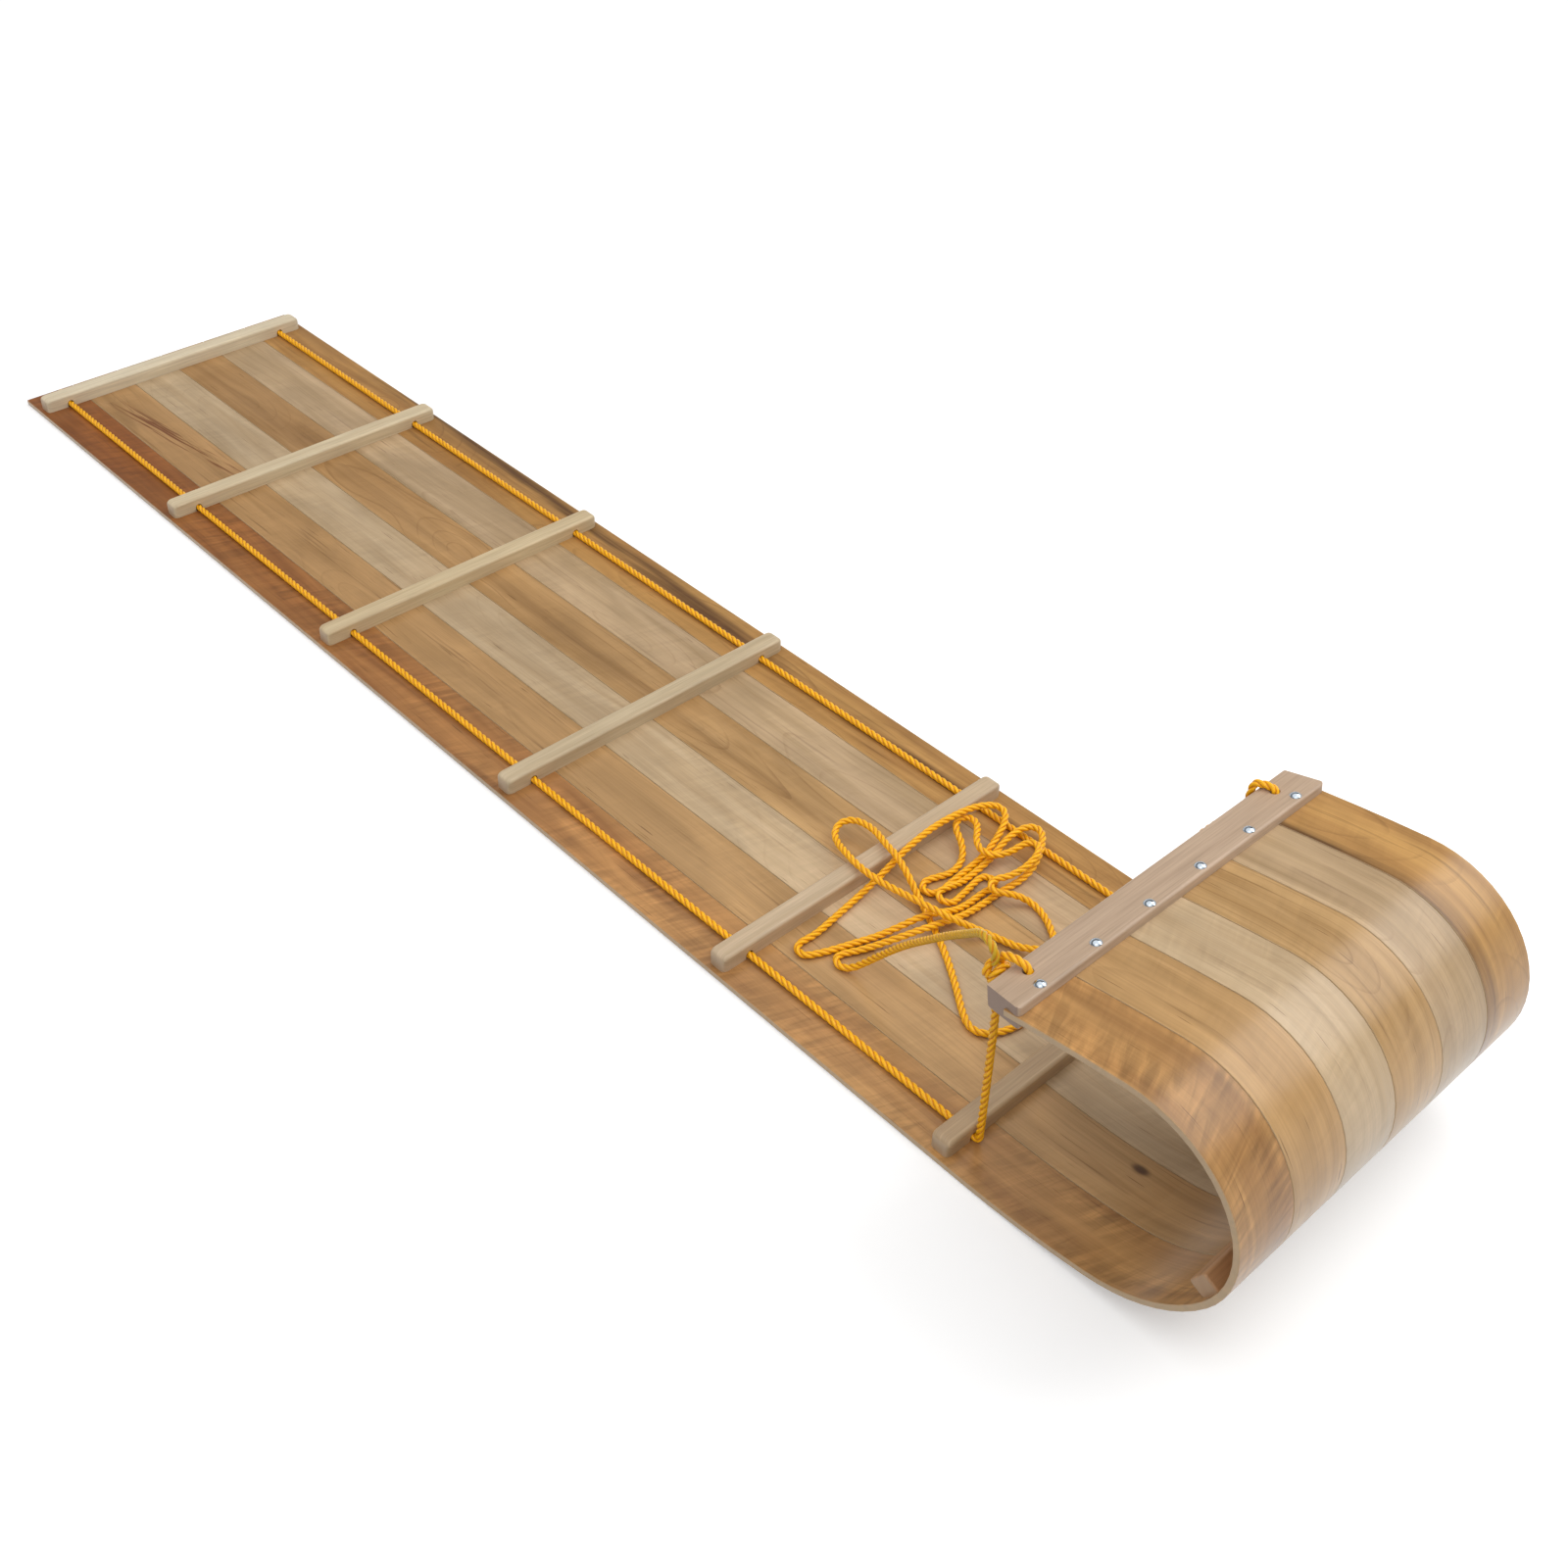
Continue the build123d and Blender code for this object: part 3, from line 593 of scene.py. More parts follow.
def even_steps(line, step):
    """Points at even steps along a line that was read from its curve."""
    lengths = [(b - a).length for a, b in zip(line, line[1:])]
    count = max(2, round(sum(lengths) / step))
    spacing = sum(lengths) / count
    picked, passed, index = [line[0]], 0.0, 0
    for k in range(1, count):
        while passed + lengths[index] < k * spacing:
            passed += lengths[index]
            index += 1
        share = (k * spacing - passed) / lengths[index]
        picked.append(line[index].lerp(line[index + 1], share))
    return picked + [line[-1]]


def strand_section(settings):
    """Section of three strands laid together: each point's angle, reach and groove depth from 0 to 1."""
    strand = STRAND_SHARE * settings.diameter / 2
    offset = settings.diameter / 2 - strand
    section = []
    for lobe in range(STRANDS):
        for k in range(POINTS_PER_STRAND):
            swing = 2 * math.pi / STRANDS * (k / POINTS_PER_STRAND - 0.5)
            reach = offset * math.cos(swing) + math.sqrt(strand**2 - (offset * math.sin(swing)) ** 2)
            depth = abs(k / POINTS_PER_STRAND - 0.5) * 2
            section.append((2 * math.pi / STRANDS * lobe + swing, reach, depth))
    return section


def lay_rope(name, line, settings, material):
    """Closed mesh of three twisted strands along a line, with the groove's depth and the lay's own map."""
    steps = even_steps(line, settings.lay / STEPS_PER_LAY)
    section = strand_section(settings)
    heading = (steps[1] - steps[0]).normalized()
    side = heading.orthogonal().normalized()
    verts, groove, rings = [], [], []
    passed = 0.0
    for i, point in enumerate(steps):
        before, after = steps[max(i - 1, 0)], steps[min(i + 1, len(steps) - 1)]
        new_heading = (after - before).normalized()
        side = heading.rotation_difference(new_heading) @ side
        side = (side - new_heading * side.dot(new_heading)).normalized()
        heading = new_heading
        up = heading.cross(side)
        passed += (point - before).length if i else 0.0
        spin = 2 * math.pi * passed / settings.lay
        rings.append(passed)
        for angle, reach, depth in section:
            verts.append(point + (side * math.cos(angle + spin) + up * math.sin(angle + spin)) * reach)
            groove.append(depth)
    around = len(section)
    faces = []
    for i in range(len(steps) - 1):
        for k in range(around):
            near, far = i * around + k, i * around + (k + 1) % around
            faces.append((near, far, far + around, near + around))
    last = (len(steps) - 1) * around
    faces.append(tuple(reversed(range(around))))
    faces.append(tuple(range(last, last + around)))
    mesh = bpy.data.meshes.new(name)
    mesh.from_pydata(verts, [], faces)
    mesh.attributes.new("groove", "FLOAT", "POINT").data.foreach_set("value", groove)
    uv = mesh.uv_layers.new(name="lay")
    for face in mesh.polygons:
        for corner in face.loop_indices:
            vertex = mesh.loops[corner].vertex_index
            turn = vertex % around
            if turn == 0 and len(face.vertices) == 4 and (vertex - 1 + around) in face.vertices:
                turn = around
            uv.data[corner].uv = (turn / around, rings[vertex // around] / settings.lay)
    rope = add_piece(name, mesh, ROPE_SMOOTH)
    dress(rope, material)
    return rope


def fade_start(rope, settings):
    """Mark the olive tint of a laid rope, from 1 at its start to 0 at the end of the fade length."""
    around = STRANDS * POINTS_PER_STRAND
    step = settings.lay / STEPS_PER_LAY
    fade = [max(0.0, 1 - i // around * step / settings.fade_length) for i in range(len(rope.data.vertices))]
    rope.data.attributes.new("fade", "FLOAT", "POINT").data.foreach_set("value", fade)


class TobogganRopeSettings(bpy.types.PropertyGroup):
    """Sizes and colours of the twisted rope."""

    diameter: bpy.props.FloatProperty(
        name="Diameter",
        description="Rope's diameter over its strands",
        default=8.5 * MM,
        unit="LENGTH",
    )
    lay: bpy.props.FloatProperty(
        name="Lay",
        description="Length of one full turn of a strand",
        default=28.0 * MM,
        unit="LENGTH",
    )
    # Length over which the olive tint of the pull rope's first part fades out
    fade_length: bpy.props.FloatProperty(
        name="Fade Length",
        description="How far from the near knot the pull rope is faded",
        default=380.0 * MM,
        unit="LENGTH",
    )
    colour: bpy.props.FloatVectorProperty(
        name="Colour",
        description="Colour of the strands",
        default=linear("#FFBA12")[:3],
        subtype="COLOR",
        size=3,
    )
    # Deeper orange painted into the grooves as shade
    groove_shade_colour: bpy.props.FloatVectorProperty(
        name="Groove Shade Colour",
        description="Colour deep between the strands",
        default=linear("#D98608")[:3],
        subtype="COLOR",
        size=3,
    )
    # Olive tint of the strands on the pull rope's first part
    olive_colour: bpy.props.FloatVectorProperty(
        name="Olive Colour",
        description="Colour of the strands where the rope is faded",
        default=linear("#CDA51C")[:3],
        subtype="COLOR",
        size=3,
    )


class TobogganBoltSettings(bpy.types.PropertyGroup):
    """Sizes of the bolts and screws."""

    head_diameter: bpy.props.FloatProperty(
        name="Head Diameter",
        description="Diameter of a bolt's domed head",
        default=12.5 * MM,
        unit="LENGTH",
    )
    head_height: bpy.props.FloatProperty(
        name="Head Height",
        description="Height of a bolt's domed head",
        default=3.2 * MM,
        unit="LENGTH",
    )
    nut_width: bpy.props.FloatProperty(
        name="Nut Width",
        description="Width of a nut across its flats",
        default=10.0 * MM,
        unit="LENGTH",
    )
    screw_diameter: bpy.props.FloatProperty(
        name="Screw Diameter",
        description="Diameter of a flush screw's head under the bed",
        default=7.0 * MM,
        unit="LENGTH",
    )


class TobogganStageSettings(bpy.types.PropertyGroup):
    """Camera, light and floor."""

    lens: bpy.props.FloatProperty(
        name="Lens",
        description="Focal length on a 36 mm wide sensor",
        default=41.9,
        subtype="DISTANCE_CAMERA",
    )
    sky: bpy.props.FloatProperty(
        name="Ceiling",
        description="Strength of the studio's own light from above, where its walls are 1",
        default=0.14,
    )
    top_light: bpy.props.FloatProperty(
        name="Ceiling Light",
        description="Strength of the wide soft light from above",
        default=1.45,
    )
    front_light: bpy.props.FloatProperty(
        name="Front Light",
        description="Strength of the soft light from the front",
        default=0.82,
    )
    softbox: bpy.props.FloatProperty(
        name="Softbox",
        description="Power of the softbox on the far side",
        default=38.0,
        subtype="POWER",
    )
    floor_glow: bpy.props.FloatProperty(
        name="Floor Glow",
        description="White that the floor adds for the camera and in reflections",
        default=0.32,
    )
    floor_colour: bpy.props.FloatVectorProperty(
        name="Floor Colour",
        description="Colour of the studio floor",
        default=linear("#E6E6E6")[:3],
        subtype="COLOR",
        size=3,
    )


class TOBOGGAN_OT_slats(bpy.types.Operator):
    """Finish the six bent slats in maple, each board with its own tone and figure"""

    bl_idname = "toboggan.slats"
    bl_label = "Finish Slats"

    def execute(self, context):
        for number, look in enumerate(SLAT_LOOKS, 1):
            dress(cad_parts[f"slat_{number}"], maple_slat(number, look))
        return {"FINISHED"}


def round_ends(name):
    """Copy of a crossbar with both ends rounded over, at the top and at the upright edges."""
    low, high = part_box(name)
    middle = (low.x + high.x) / 2
    model = bmesh.new()
    model.from_mesh(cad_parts[name].data)
    bmesh.ops.remove_doubles(model, verts=model.verts, dist=MERGE_REACH)
    for share in END_CUTS:
        for place in (low.y + share * END_ROUND, high.y - share * END_ROUND):
            every = model.verts[:] + model.edges[:] + model.faces[:]
            bmesh.ops.bisect_plane(
                model,
                geom=every,
                dist=MERGE_REACH,
                plane_co=(0, place, 0),
                plane_no=(0, 1, 0),
            )
    for vertex in model.verts:
        short = END_ROUND - min(vertex.co.y - low.y, high.y - vertex.co.y)
        if short > 0:
            inset = 1 - math.sqrt(max(0.0, 1 - (short / END_ROUND) ** 2))
            vertex.co.z -= END_DROP * inset * (vertex.co.z - low.z) / (high.z - low.z)
            vertex.co.x -= END_NARROWING * inset * (vertex.co.x - middle) / (high.x - middle)
    mesh = bpy.data.meshes.new(f"{name}_rounded")
    model.to_mesh(mesh)
    model.free()
    bar = add_piece(f"{name}_rounded", mesh, BAR_SMOOTH)
    flat = bar.modifiers.new("flat faces", "WEIGHTED_NORMAL")
    flat.keep_sharp = True
    return bar


class TOBOGGAN_OT_bars(bpy.types.Operator):
    """Finish the crossbars, the curl bar and the head bar in sanded maple"""

    bl_idname = "toboggan.bars"
    bl_label = "Finish Bars"

    def execute(self, context):
        for i, (name, tones) in enumerate(zip(CROSSBARS + ["curl_bar"], BAR_TONES)):
            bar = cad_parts[name]
            if name in CROSSBARS:
                bar = round_ends(name)
                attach(bar, "root")
                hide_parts(name)
            dress(bar, maple_bar(f"maple_{name}", *tones, BAR_SEED + BAR_SEED_STEP * i))
        dress(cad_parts["head_bar"], maple_bar("maple_head_bar", *HEAD_BAR_TONES, HEAD_BAR_SEED))
        return {"FINISHED"}


def head_place(back, lift, across):
    """Point of the head bar: back from its front edge along its slope, above the slats' middle, across."""
    slope = Matrix.Rotation(-HEAD_SLOPE, 3, "Y")
    return HEAD_FRONT + slope @ Vector((-back, across, lift))


def seat_copies(name, model, places):
    """One mesh of copies of a model, each set by its own matrix, with the model removed."""
    copies = []
    for place in places:
        copy = model.copy()
        copy.data = model.data.copy()
        copy.data.transform(place)
        bpy.context.scene.collection.objects.link(copy)
        copies.append(copy)
    bpy.data.objects.remove(model)
    deselect()
    for copy in copies:
        copy.select_set(True)
    bpy.context.view_layer.objects.active = copies[0]
    bpy.ops.object.join()
    joined = bpy.context.view_layer.objects.active
    joined.name = name
    joined.data.name = name
    return joined


class TOBOGGAN_OT_head_bolts(bpy.types.Operator):
    """Add the domed bolts that hold the slats in the head bar, with their nuts"""

    bl_idname = "toboggan.head_bolts"
    bl_label = "Add Head Bolts"

    def execute(self, context):
        settings = context.scene.toboggan_bolts
        radius, height = settings.head_diameter / 2, settings.head_height
        ball = (radius**2 + height**2) / (2 * height)
        deselect()
        bpy.ops.mesh.primitive_uv_sphere_add(
            segments=DOME_FACETS,
            ring_count=DOME_FACETS,
            radius=ball,
            location=(0, 0, height - ball),
        )
        head = context.active_object
        bpy.ops.object.transform_apply(location=True)
        bpy.ops.object.mode_set(mode="EDIT")
        bpy.ops.mesh.select_all(action="SELECT")
        bpy.ops.mesh.bisect(plane_co=(0, 0, 0), plane_no=(0, 0, 1), use_fill=True, clear_inner=True)
        bpy.ops.object.mode_set(mode="OBJECT")
        rim = head.modifiers.new("rim", "BEVEL")
        rim.width = DOME_RIM
        rim.segments = 2
        bpy.ops.object.modifier_apply(modifier="rim")
        bpy.ops.object.shade_smooth_by_angle(angle=math.radians(BOLT_SMOOTH))
        steel = bolt_finish()
        tilt = Matrix.Rotation(-HEAD_SLOPE, 4, "Y")
        tops = [Matrix.Translation(head_place(BOLT_SETBACK, HEAD_TOP, y)) @ tilt for y in SLAT_MIDDLES]
        heads = seat_copies("head_bolt_heads", head, tops)
        dress(heads, steel)
        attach(heads, "root")

        deselect()
        bpy.ops.mesh.primitive_cylinder_add(
            vertices=6,
            radius=settings.nut_width / math.sqrt(3),
            depth=NUT_HEIGHT,
            location=(0, 0, -NUT_HEIGHT / 2),
        )
        nut = context.active_object
        bpy.ops.object.transform_apply(location=True)
        bpy.ops.object.mode_set(mode="EDIT")
        bpy.ops.mesh.select_mode(type="FACE")
        bpy.ops.mesh.select_all(action="DESELECT")
        bpy.ops.object.mode_set(mode="OBJECT")
        for face in nut.data.polygons:
            face.select = face.normal.z < FACING_DOWN
        bpy.ops.object.mode_set(mode="EDIT")
        bpy.ops.mesh.inset(thickness=NUT_WALL)
        bpy.ops.mesh.extrude_region_move(TRANSFORM_OT_translate={"value": (0, 0, -BOLT_END)})
        bpy.ops.object.mode_set(mode="OBJECT")
        edge = nut.modifiers.new("edge", "BEVEL")
        edge.width = NUT_EDGE
        edge.segments = 2
        bpy.ops.object.modifier_apply(modifier="edge")
        bpy.ops.object.shade_smooth_by_angle(angle=math.radians(NUT_SMOOTH))
        bottoms = [Matrix.Translation(head_place(BOLT_SETBACK, HEAD_BOTTOM, y)) @ tilt for y in SLAT_MIDDLES]
        nuts = seat_copies("head_bolt_nuts", nut, bottoms)
        dress(nuts, steel)
        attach(nuts, "root")
        return {"FINISHED"}


class TOBOGGAN_OT_bed_screws(bpy.types.Operator):
    """Add the flush screws that hold the crossbars from under the bed"""

    bl_idname = "toboggan.bed_screws"
    bl_label = "Add Bed Screws"

    def execute(self, context):
        settings = context.scene.toboggan_bolts
        deselect()
        bpy.ops.mesh.primitive_cylinder_add(
            vertices=SCREW_FACETS,
            radius=settings.screw_diameter / 2,
            depth=SCREW_HEIGHT,
            location=(0, 0, SCREW_HEIGHT / 2 - SCREW_PROUD),
        )
        screw = context.active_object
        bpy.ops.object.transform_apply(location=True)
        for face in screw.data.polygons:
            face.select = face.normal.z < FACING_DOWN
        bpy.ops.object.mode_set(mode="EDIT")
        bpy.ops.mesh.select_mode(type="FACE")
        bpy.ops.mesh.inset(thickness=SCREW_RIM, depth=SCREW_RIM_DEPTH)
        bpy.ops.mesh.inset(thickness=SCREW_DRIVE_INSET)
        bpy.ops.mesh.extrude_region_move(TRANSFORM_OT_translate={"value": (0, 0, SCREW_DRIVE_DEPTH)})
        bpy.ops.object.mode_set(mode="OBJECT")
        bpy.ops.object.shade_smooth_by_angle(angle=math.radians(NUT_SMOOTH))
        places = []
        for name in CROSSBARS:
            low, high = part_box(name)
            middle = (low.x + high.x) / 2
            for across in SLAT_MIDDLES:
                for step in (-1, 1):
                    spot = Vector((middle + step * SCREW_ALONG, across + step * SCREW_ACROSS, 0))
                    places.append(Matrix.Translation(spot))
        screws = seat_copies("bed_screws", screw, places)
        dress(screws, bolt_finish())
        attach(screws, "root")
        return {"FINISHED"}


# Side ropes, in millimetres: along the bed through the crossbars' notches, then up to the knot
SIDE_ROPES = {
    "near": [
        (-1105.9, -184.3, 11.55), (-600, -184.3, 11.55), (-100, -184.3, 11.55), (400, -184.3, 11.55),
        (750, -184.3, 11.55), (815, -184.3, 11.55), (832.1, -184.3, 11.55), (832, -184.3, 24),
        (831.8, -184.6, 60), (831, -185.6, 150), (829.6, -187.2, 232), (829.4, -187.5, 251),
    ],
    "far": [
        (-1105.9, 184.3, 11.55), (-600, 184.3, 11.55), (-100, 184.3, 11.55), (400, 184.3, 11.55),
        (750, 184.3, 11.55), (815, 184.3, 11.55), (832.1, 184.3, 11.55), (832, 184.1, 24),
        (831.6, 183.0, 60), (830.5, 179, 130), (829.1, 174.3, 190), (829.1, 174.3, 206.6),
    ],
}

# Head knots, in millimetres: up from the side rope, round the knot, over the bar, down its hole and back
HEAD_KNOTS = {
    "near": [
        (830.5, -199.5, 247.5), (831.5, -201.5, 252.5), (833, -203.3, 257.5), (834.5, -200.5, 263.8),
        (834.8, -193.5, 265.8), (834, -186.5, 263.5), (833, -182.9, 258), (831, -186.5, 252.6),
        (829, -193.3, 251.6), (827, -200.3, 253.6), (825.5, -203.7, 258.6), (824.3, -200.3, 263.6),
        (823.8, -193.3, 265.6), (825, -186.8, 264), (828, -186.6, 268.5), (831, -187.4, 275.5),
        (840, -187.2, 279), (850, -185.8, 279), (857, -184.5, 276.5), (859.3, -184.3, 268),
        (861, -184.3, 252), (861.5, -184.4, 245.5), (856, -186, 241), (846, -192, 239.8),
        (837.5, -198, 240), (832.5, -200, 244.5), (831, -199.5, 250),
    ],
    "far": [
        (829.1, 174.3, 205.5), (830.5, 177.5, 209.8), (833.5, 183.5, 214), (834.5, 182, 222.5),
        (834.8, 174.5, 224.7), (834, 167, 222.5), (833, 163.9, 217), (831, 167.3, 211.6),
        (829, 174.3, 210.6), (827, 181.3, 212.6), (825.5, 184.7, 217.6), (824.3, 181.3, 222.6),
        (824, 174.3, 224.6), (825.5, 168.5, 223), (829, 169.2, 229), (834, 171, 241),
        (836.5, 173.8, 255), (835.8, 176.5, 266.5), (836.4, 178.6, 273.6), (842, 180.8, 275.2),
        (849, 182.8, 276), (856, 184.2, 275.6), (859.3, 184.3, 268), (861, 184.3, 252),
        (861.3, 184.2, 245.5), (856, 183.5, 241), (846, 181.5, 240), (838, 180, 239), (834, 179.6, 234),
        (833, 179.5, 228), (832, 178.5, 222),
    ],
}

# Pull rope, in millimetres: out of the near knot's top and, at its other end, into the back of the far knot
PULL_ROPE_START = [(829.1, -197.0, 269.6), (829.1, -197.0, 278.1)]
PULL_ROPE_END = [(811.0, 174.3, 207.0), (820.0, 174.3, 213.0)]
# Its route between them: forward of the fifth crossbar's middle, across, and above lying on the bed
PULL_ROPE_ROUTE = [
    # arch from the near knot down to the bed, and the fold there
    (341.5, -196.5, 274.5), (330.5, -193, 276.5), (315.5, -185, 265.5), (292.5, -169, 235.5),
    (254.5, -147, 189.5), (211.5, -128, 137.5), (169.5, -114, 87.5), (135.5, -109, 43.5),
    (115.5, -112, 17.5), (103.5, -117, 4), (94, -122.5, 0), (84, -123, 0), (77, -115.5, 0), (79.5, -105, 0),
    # along the bed to the far side, over the long loop
    (87, -91, 0), (97.5, -66, 2), (112.5, -38, 10.5), (123.5, -4, 11.5), (127.5, 36, 2), (127.5, 73, 0),
    (127.5, 101, 0), (131.5, 127, 2), (128.5, 151, 7.5),
    # bight over the far side rope, and back into the pile
    (116.5, 175, 13), (102.5, 193, 14), (87.5, 194, 14), (79.5, 179, 13), (80, 152, 11.5), (85, 127, 4.5),
    (86, 100, 0), (88.5, 70, 1), (88, 47, 8.5), (86.5, 34.5, 9.5), (92.5, 27, 9.5), (102, 27, 8.5),
    (108.5, 35, 6.5),
    # short bight in the middle of the pile
    (104.5, 49, 3), (99.5, 73, 0), (97, 85.5, 0), (96, 95, 0), (101.5, 102, 0), (110.5, 102.5, 0),
    (117, 96, 0), (115, 78, 0),
    # over the long loop again, to the bight nearest the tail
    (117, 48, 1), (116.5, 27, 5.5), (110.5, 8, 11.5), (102.5, -12, 11.5), (93.5, -35, 4.5), (84.5, -62, 0),
    (74.5, -90, 0), (66.5, -114, 0), (59.5, -130.5, 0), (54, -140, 0), (45, -142.5, 0), (37.5, -137.5, 0),
    (35.5, -128, 0), (38, -109.5, 0),
    # up along the crossbar and round the far corner
    (32.5, -73, 0), (26.5, -28, 1), (23.5, 11, 8.5), (21, 50, 21.5), (17.5, 100, 23.5), (22, 148, 23.5),
    (30.5, 173, 21.5), (39.5, 184.5, 19), (50.5, 185.5, 16), (60.5, 174, 13), (69, 152, 8.5),
    # down to the pile and back up to the narrow bight
    (75, 126, 2), (77, 97, 0), (79.5, 64, 0), (82.5, 45, 0), (77.5, 31.5, 0), (64.5, 30, 0), (58, 42, 0),
    (62.5, 56, 0), (68.5, 71, 0), (67.5, 88, 0), (60.5, 104, 3), (45.5, 116, 7.5), (31.5, 122, 10.5),
    (22, 131, 12), (20.5, 141, 13), (26.5, 149, 13), (36.5, 149.5, 13),
    # over two strands to the far side, and down again
    (46.5, 142, 14), (58.5, 126, 15), (71.5, 116, 16), (85.5, 115, 16), (95.5, 125, 15), (99.5, 141, 14),
    (100.5, 155, 15), (105, 165, 18), (114.5, 168, 20.5), (123.5, 161, 20.5), (128.5, 148, 19.5),
    (129.5, 128, 16), (125, 109, 13), (118.5, 97, 13), (117.5, 86.5, 13), (124, 79, 13), (133.5, 79.5, 13),
    (140.5, 87, 12), (149.5, 98, 7.5), (161.5, 105.5, 2), (177.5, 105, 0), (196.5, 97, 0),
    # wide turn under the head bar
    (221.5, 80, 0), (252.5, 55, 0), (273.5, 12, 0), (276.5, -32, 0), (270.5, -60, 0), (260.5, -77, 0),
    (244.5, -83.5, 0), (223.5, -73, 0),
    # long loop: under the pile, over the crossbar, round and back over the pile
    (198.5, -54, 0), (161.5, -29, 0), (126.5, -9, 0), (94.5, 7, 0), (72.5, 15, 5.5), (50.5, 21, 17.5),
    (26.5, 27, 26), (2.5, 33, 24.5), (-27, 43.5, 21.5), (-57, 43, 16.5), (-67, 27.5, 13.5), (-57, 8.5, 13.5),
    (-36.5, -2.5, 16), (-22.5, -8, 21), (2.5, -15, 23), (36.5, -15, 22), (69.5, -9.5, 22.5), (102.5, -4, 24),
    (133.5, 4, 21), (154.5, 25, 6.5), (178.5, 38, 0), (204.5, 43, 3),
    # over the wide turn and up to the far knot
    (231.5, 58, 11.5), (258.5, 82, 9.5), (279.5, 112, 0), (292.5, 137, 9.5), (299.5, 151, 41.5),
    (304.5, 161, 90.5), (307.5, 167, 135.5), (312, 171, 168.5), (320, 174, 181.5),
]


class TOBOGGAN_OT_side_ropes(bpy.types.Operator):
    """Lay the side ropes that run through the crossbars' notches and up to the head bar"""

    bl_idname = "toboggan.side_ropes"
    bl_label = "Lay Side Ropes"

    def execute(self, context):
        settings = context.scene.toboggan_rope
        material = rope_finish(settings)
        for name, points in SIDE_ROPES.items():
            rope = lay_rope(f"twisted_side_rope_{name}", smooth_line(metres(points)), settings, material)
            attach(rope, "root")
            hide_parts(f"side_rope_{name}")
        return {"FINISHED"}


class TOBOGGAN_OT_pull_rope(bpy.types.Operator):
    """Lay the loose pull rope from the near knot, in loops over the bed, to the far knot"""

    bl_idname = "toboggan.pull_rope"
    bl_label = "Lay Pull Rope"

    def execute(self, context):
        settings = context.scene.toboggan_rope
        material = rope_finish(settings)
        bar_low, bar_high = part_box("crossbar_5")
        side_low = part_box("side_rope_near")[0]
        origin = Vector(((bar_low.x + bar_high.x) / 2, 0, side_low.z + settings.diameter / 2))
        points = metres(PULL_ROPE_START)
        points += [origin + step for step in metres(PULL_ROPE_ROUTE)]
        points += metres(PULL_ROPE_END)
        line = smooth_line(points)
        rope = lay_rope("twisted_pull_rope", line, settings, material)
        fade_start(rope, settings)
        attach(rope, "root")
        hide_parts("pull_rope")
        even_steps(line, settings.lay / STEPS_PER_LAY)
        return {"FINISHED"}


class TOBOGGAN_OT_knots(bpy.types.Operator):
    """Tie the knots behind the head bar and the stopper knots at the tail"""

    bl_idname = "toboggan.knots"
    bl_label = "Tie Knots"

    def execute(self, context):
        settings = context.scene.toboggan_rope
        material = rope_finish(settings)
        for name, points in HEAD_KNOTS.items():
            knot = lay_rope(f"tied_head_knot_{name}", smooth_line(metres(points)), settings, material)
            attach(knot, "root")
            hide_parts(f"head_knot_{name}")
        for name, side in (("near", -1), ("far", 1)):
            low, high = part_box(f"tail_knot_{name}")
            bottom = low.z + settings.diameter / 2
            steps = round(STOPPER_TURNS * STOPPER_POINTS)
            points = [Vector((high.x, (low.y + high.y) / 2, bottom))]
            for k in range(steps + 1):
                angle = math.radians(-90 + 360 * k / STOPPER_POINTS * side)
                aside = STOPPER_WIDE * math.cos(angle)
                up = STOPPER_TALL * (1 + math.sin(angle))
                points.append(points[0] + Vector((0, aside, up)))
                points[-1].x = high.x - STOPPER_START - (high.x - low.x - STOPPER_SHORTER) * k / steps
            knot = lay_rope(f"tied_tail_knot_{name}", smooth_line(points), settings, material)
            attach(knot, "root")
            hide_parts(f"tail_knot_{name}")
        return {"FINISHED"}


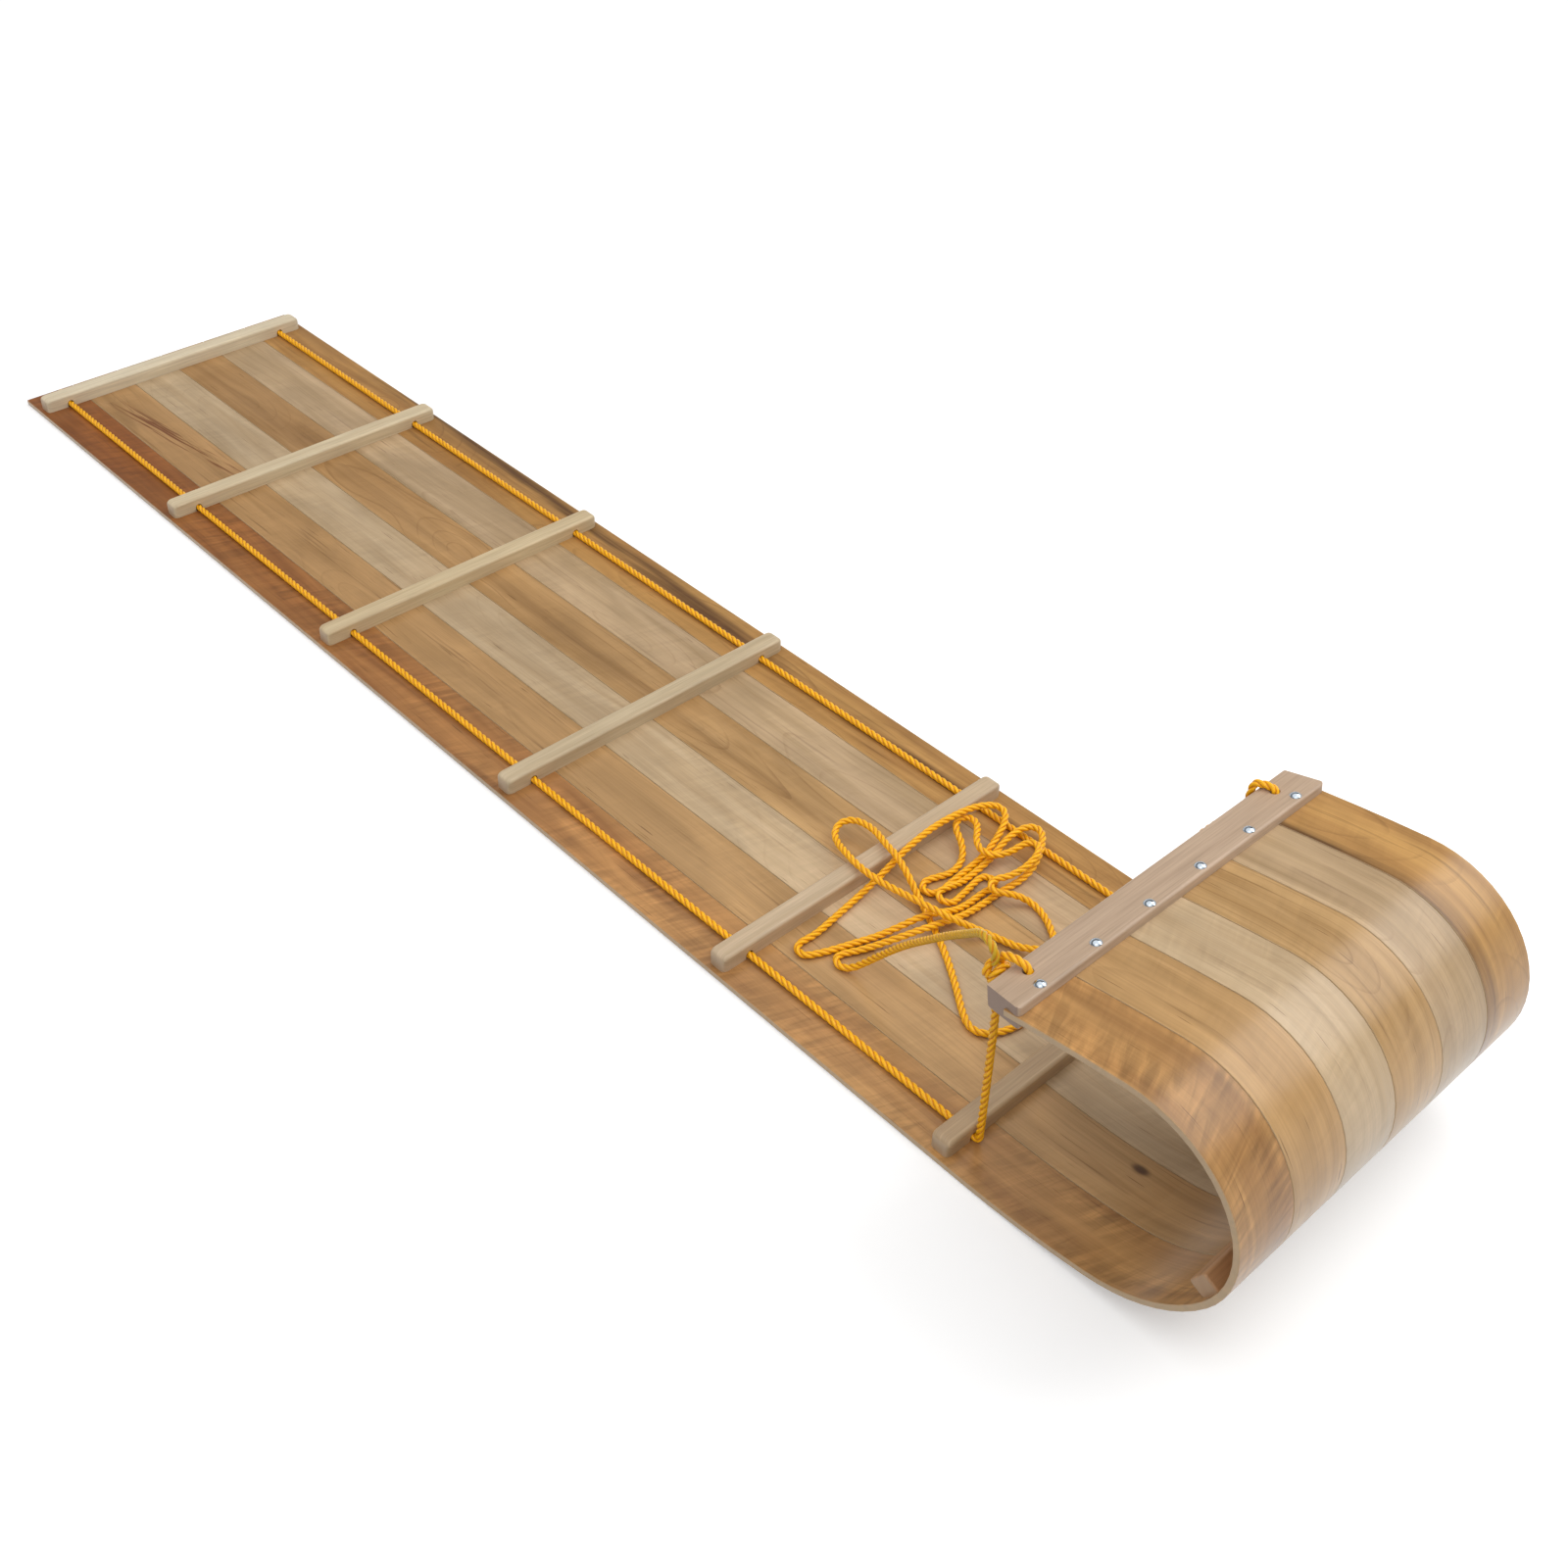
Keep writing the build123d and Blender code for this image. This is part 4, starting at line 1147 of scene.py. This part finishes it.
class TOBOGGAN_OT_stage(bpy.types.Operator):
    """Set the white studio: floor, white walls, two wide lamps, a softbox and the camera"""

    bl_idname = "toboggan.stage"
    bl_label = "Set Stage"

    def execute(self, context):
        settings = context.scene.toboggan_stage
        scene = context.scene
        scene.view_settings.view_transform = "Standard"

        deselect()
        bpy.ops.mesh.primitive_plane_add(size=FLOOR_SIZE, location=(0, 0, -FLOOR_DROP))
        floor = context.active_object
        floor.name = "studio_floor"
        bpy.ops.object.transform_apply(location=True)
        material, tree, shader = new_material("studio_floor_paper")
        path = node(tree, "ShaderNodeLightPath")
        seen = node(
            tree,
            "ShaderNodeMath",
            {0: path.outputs["Is Camera Ray"], 1: path.outputs["Is Glossy Ray"]},
            operation="MAXIMUM",
        ).outputs[0]
        seen = node(
            tree,
            "ShaderNodeMath",
            {0: seen, 1: path.outputs["Is Transmission Ray"]},
            operation="MAXIMUM",
        ).outputs[0]
        colour = node(
            tree,
            "ShaderNodeMix",
            {0: seen, 6: linear(FLOOR_BOUNCE), 7: list(settings.floor_colour) + [1.0]},
            **BLEND,
        ).outputs[2]
        tree.links.new(colour, shader.inputs["Base Color"])
        glow = node(tree, "ShaderNodeMath", {0: seen, 1: settings.floor_glow}, operation="MULTIPLY")
        tree.links.new(glow.outputs[0], shader.inputs["Emission Strength"])
        shader.inputs["Emission Color"].default_value = (1, 1, 1, 1)
        shader.inputs["Roughness"].default_value = 0.9
        shader.inputs["Specular IOR Level"].default_value = 0.0
        dress(floor, material)

        world = bpy.data.worlds.new("white_studio")
        scene.world = world
        world.use_nodes = True
        tree = world.node_tree
        tree.nodes.clear()
        # White walls all round, and a dimmer ceiling
        place = node(tree, "ShaderNodeTexCoord").outputs["Generated"]
        height = node(tree, "ShaderNodeSeparateXYZ", {0: place}).outputs[2]
        strength = node(
            tree,
            "ShaderNodeMapRange",
            {0: height, 1: WALL_TOP, 2: CEILING_EDGE, 3: 1.0, 4: settings.sky},
            **SMOOTH,
        ).outputs[0]
        light = node(tree, "ShaderNodeBackground", {"Color": (1, 1, 1, 1), "Strength": strength})
        node(tree, "ShaderNodeOutputWorld", {"Surface": light.outputs[0]})

        # Wide soft light from above the tail, and less of it from the front; both are even over the floor
        lamps = [
            ("ceiling_light", settings.top_light, 75, (0.22, 0.04, -0.97)),
            ("front_light", settings.front_light, 60, (-0.42, 0.47, -0.77)),
        ]
        for name, strength, spread, heading in lamps:
            lamp = bpy.data.lights.new(name, "SUN")
            lamp.energy = strength
            lamp.angle = math.radians(spread)
            holder = bpy.data.objects.new(name, lamp)
            holder.rotation_euler = Vector(heading).to_track_quat("-Z", "Y").to_euler()
            scene.collection.objects.link(holder)

        # Softbox on the far side, which the nose mirrors along its top
        box = bpy.data.lights.new("far_softbox", "AREA")
        box.energy = settings.softbox
        box.size = SOFTBOX_SIZE
        holder = bpy.data.objects.new("far_softbox", box)
        holder.location = SOFTBOX_PLACE
        aim = SOFTBOX_AIM - holder.location
        holder.rotation_euler = aim.to_track_quat("-Z", "Y").to_euler()
        scene.collection.objects.link(holder)

        lens = bpy.data.cameras.new("photo_camera")
        lens.lens = settings.lens
        lens.sensor_width = SENSOR_WIDTH
        camera = bpy.data.objects.new("photo_camera", lens)
        camera.location = CAMERA_PLACE
        camera.rotation_euler = CAMERA_TURN
        scene.collection.objects.link(camera)
        scene.camera = camera
        return {"FINISHED"}


class TOBOGGAN_PT_panel(bpy.types.Panel):
    """Lists the steps that finish the toboggan, with the sizes and colours that they use"""

    bl_idname = "TOBOGGAN_PT_panel"
    bl_label = "Toboggan"
    bl_space_type = "VIEW_3D"
    bl_region_type = "UI"
    bl_category = "Toboggan"

    def draw(self, context):
        layout = self.layout
        for step in STEPS:
            layout.operator(f"toboggan.{step}")
        for group in SETTINGS:
            settings = getattr(context.scene, group)
            box = layout.box()
            for key in type(settings).__annotations__:
                box.prop(settings, key)


STEPS = ["stage", "pull_rope", "side_ropes", "knots", "slats", "bars", "head_bolts", "bed_screws"]
SETTINGS = {
    "toboggan_rope": TobogganRopeSettings,
    "toboggan_bolts": TobogganBoltSettings,
    "toboggan_stage": TobogganStageSettings,
}
CLASSES = [
    *SETTINGS.values(),
    TOBOGGAN_OT_slats,
    TOBOGGAN_OT_bars,
    TOBOGGAN_OT_head_bolts,
    TOBOGGAN_OT_bed_screws,
    TOBOGGAN_OT_side_ropes,
    TOBOGGAN_OT_pull_rope,
    TOBOGGAN_OT_knots,
    TOBOGGAN_OT_stage,
    TOBOGGAN_PT_panel,
]


def register():
    for cls in CLASSES:
        bpy.utils.register_class(cls)
    for name, group in SETTINGS.items():
        setattr(bpy.types.Scene, name, bpy.props.PointerProperty(type=group))


def unregister():
    for name in SETTINGS:
        delattr(bpy.types.Scene, name)
    for cls in reversed(CLASSES):
        bpy.utils.unregister_class(cls)


def main():
    register()
    for step in STEPS:
        getattr(bpy.ops.toboggan, step)()


if __name__ == "__main__":
    main()
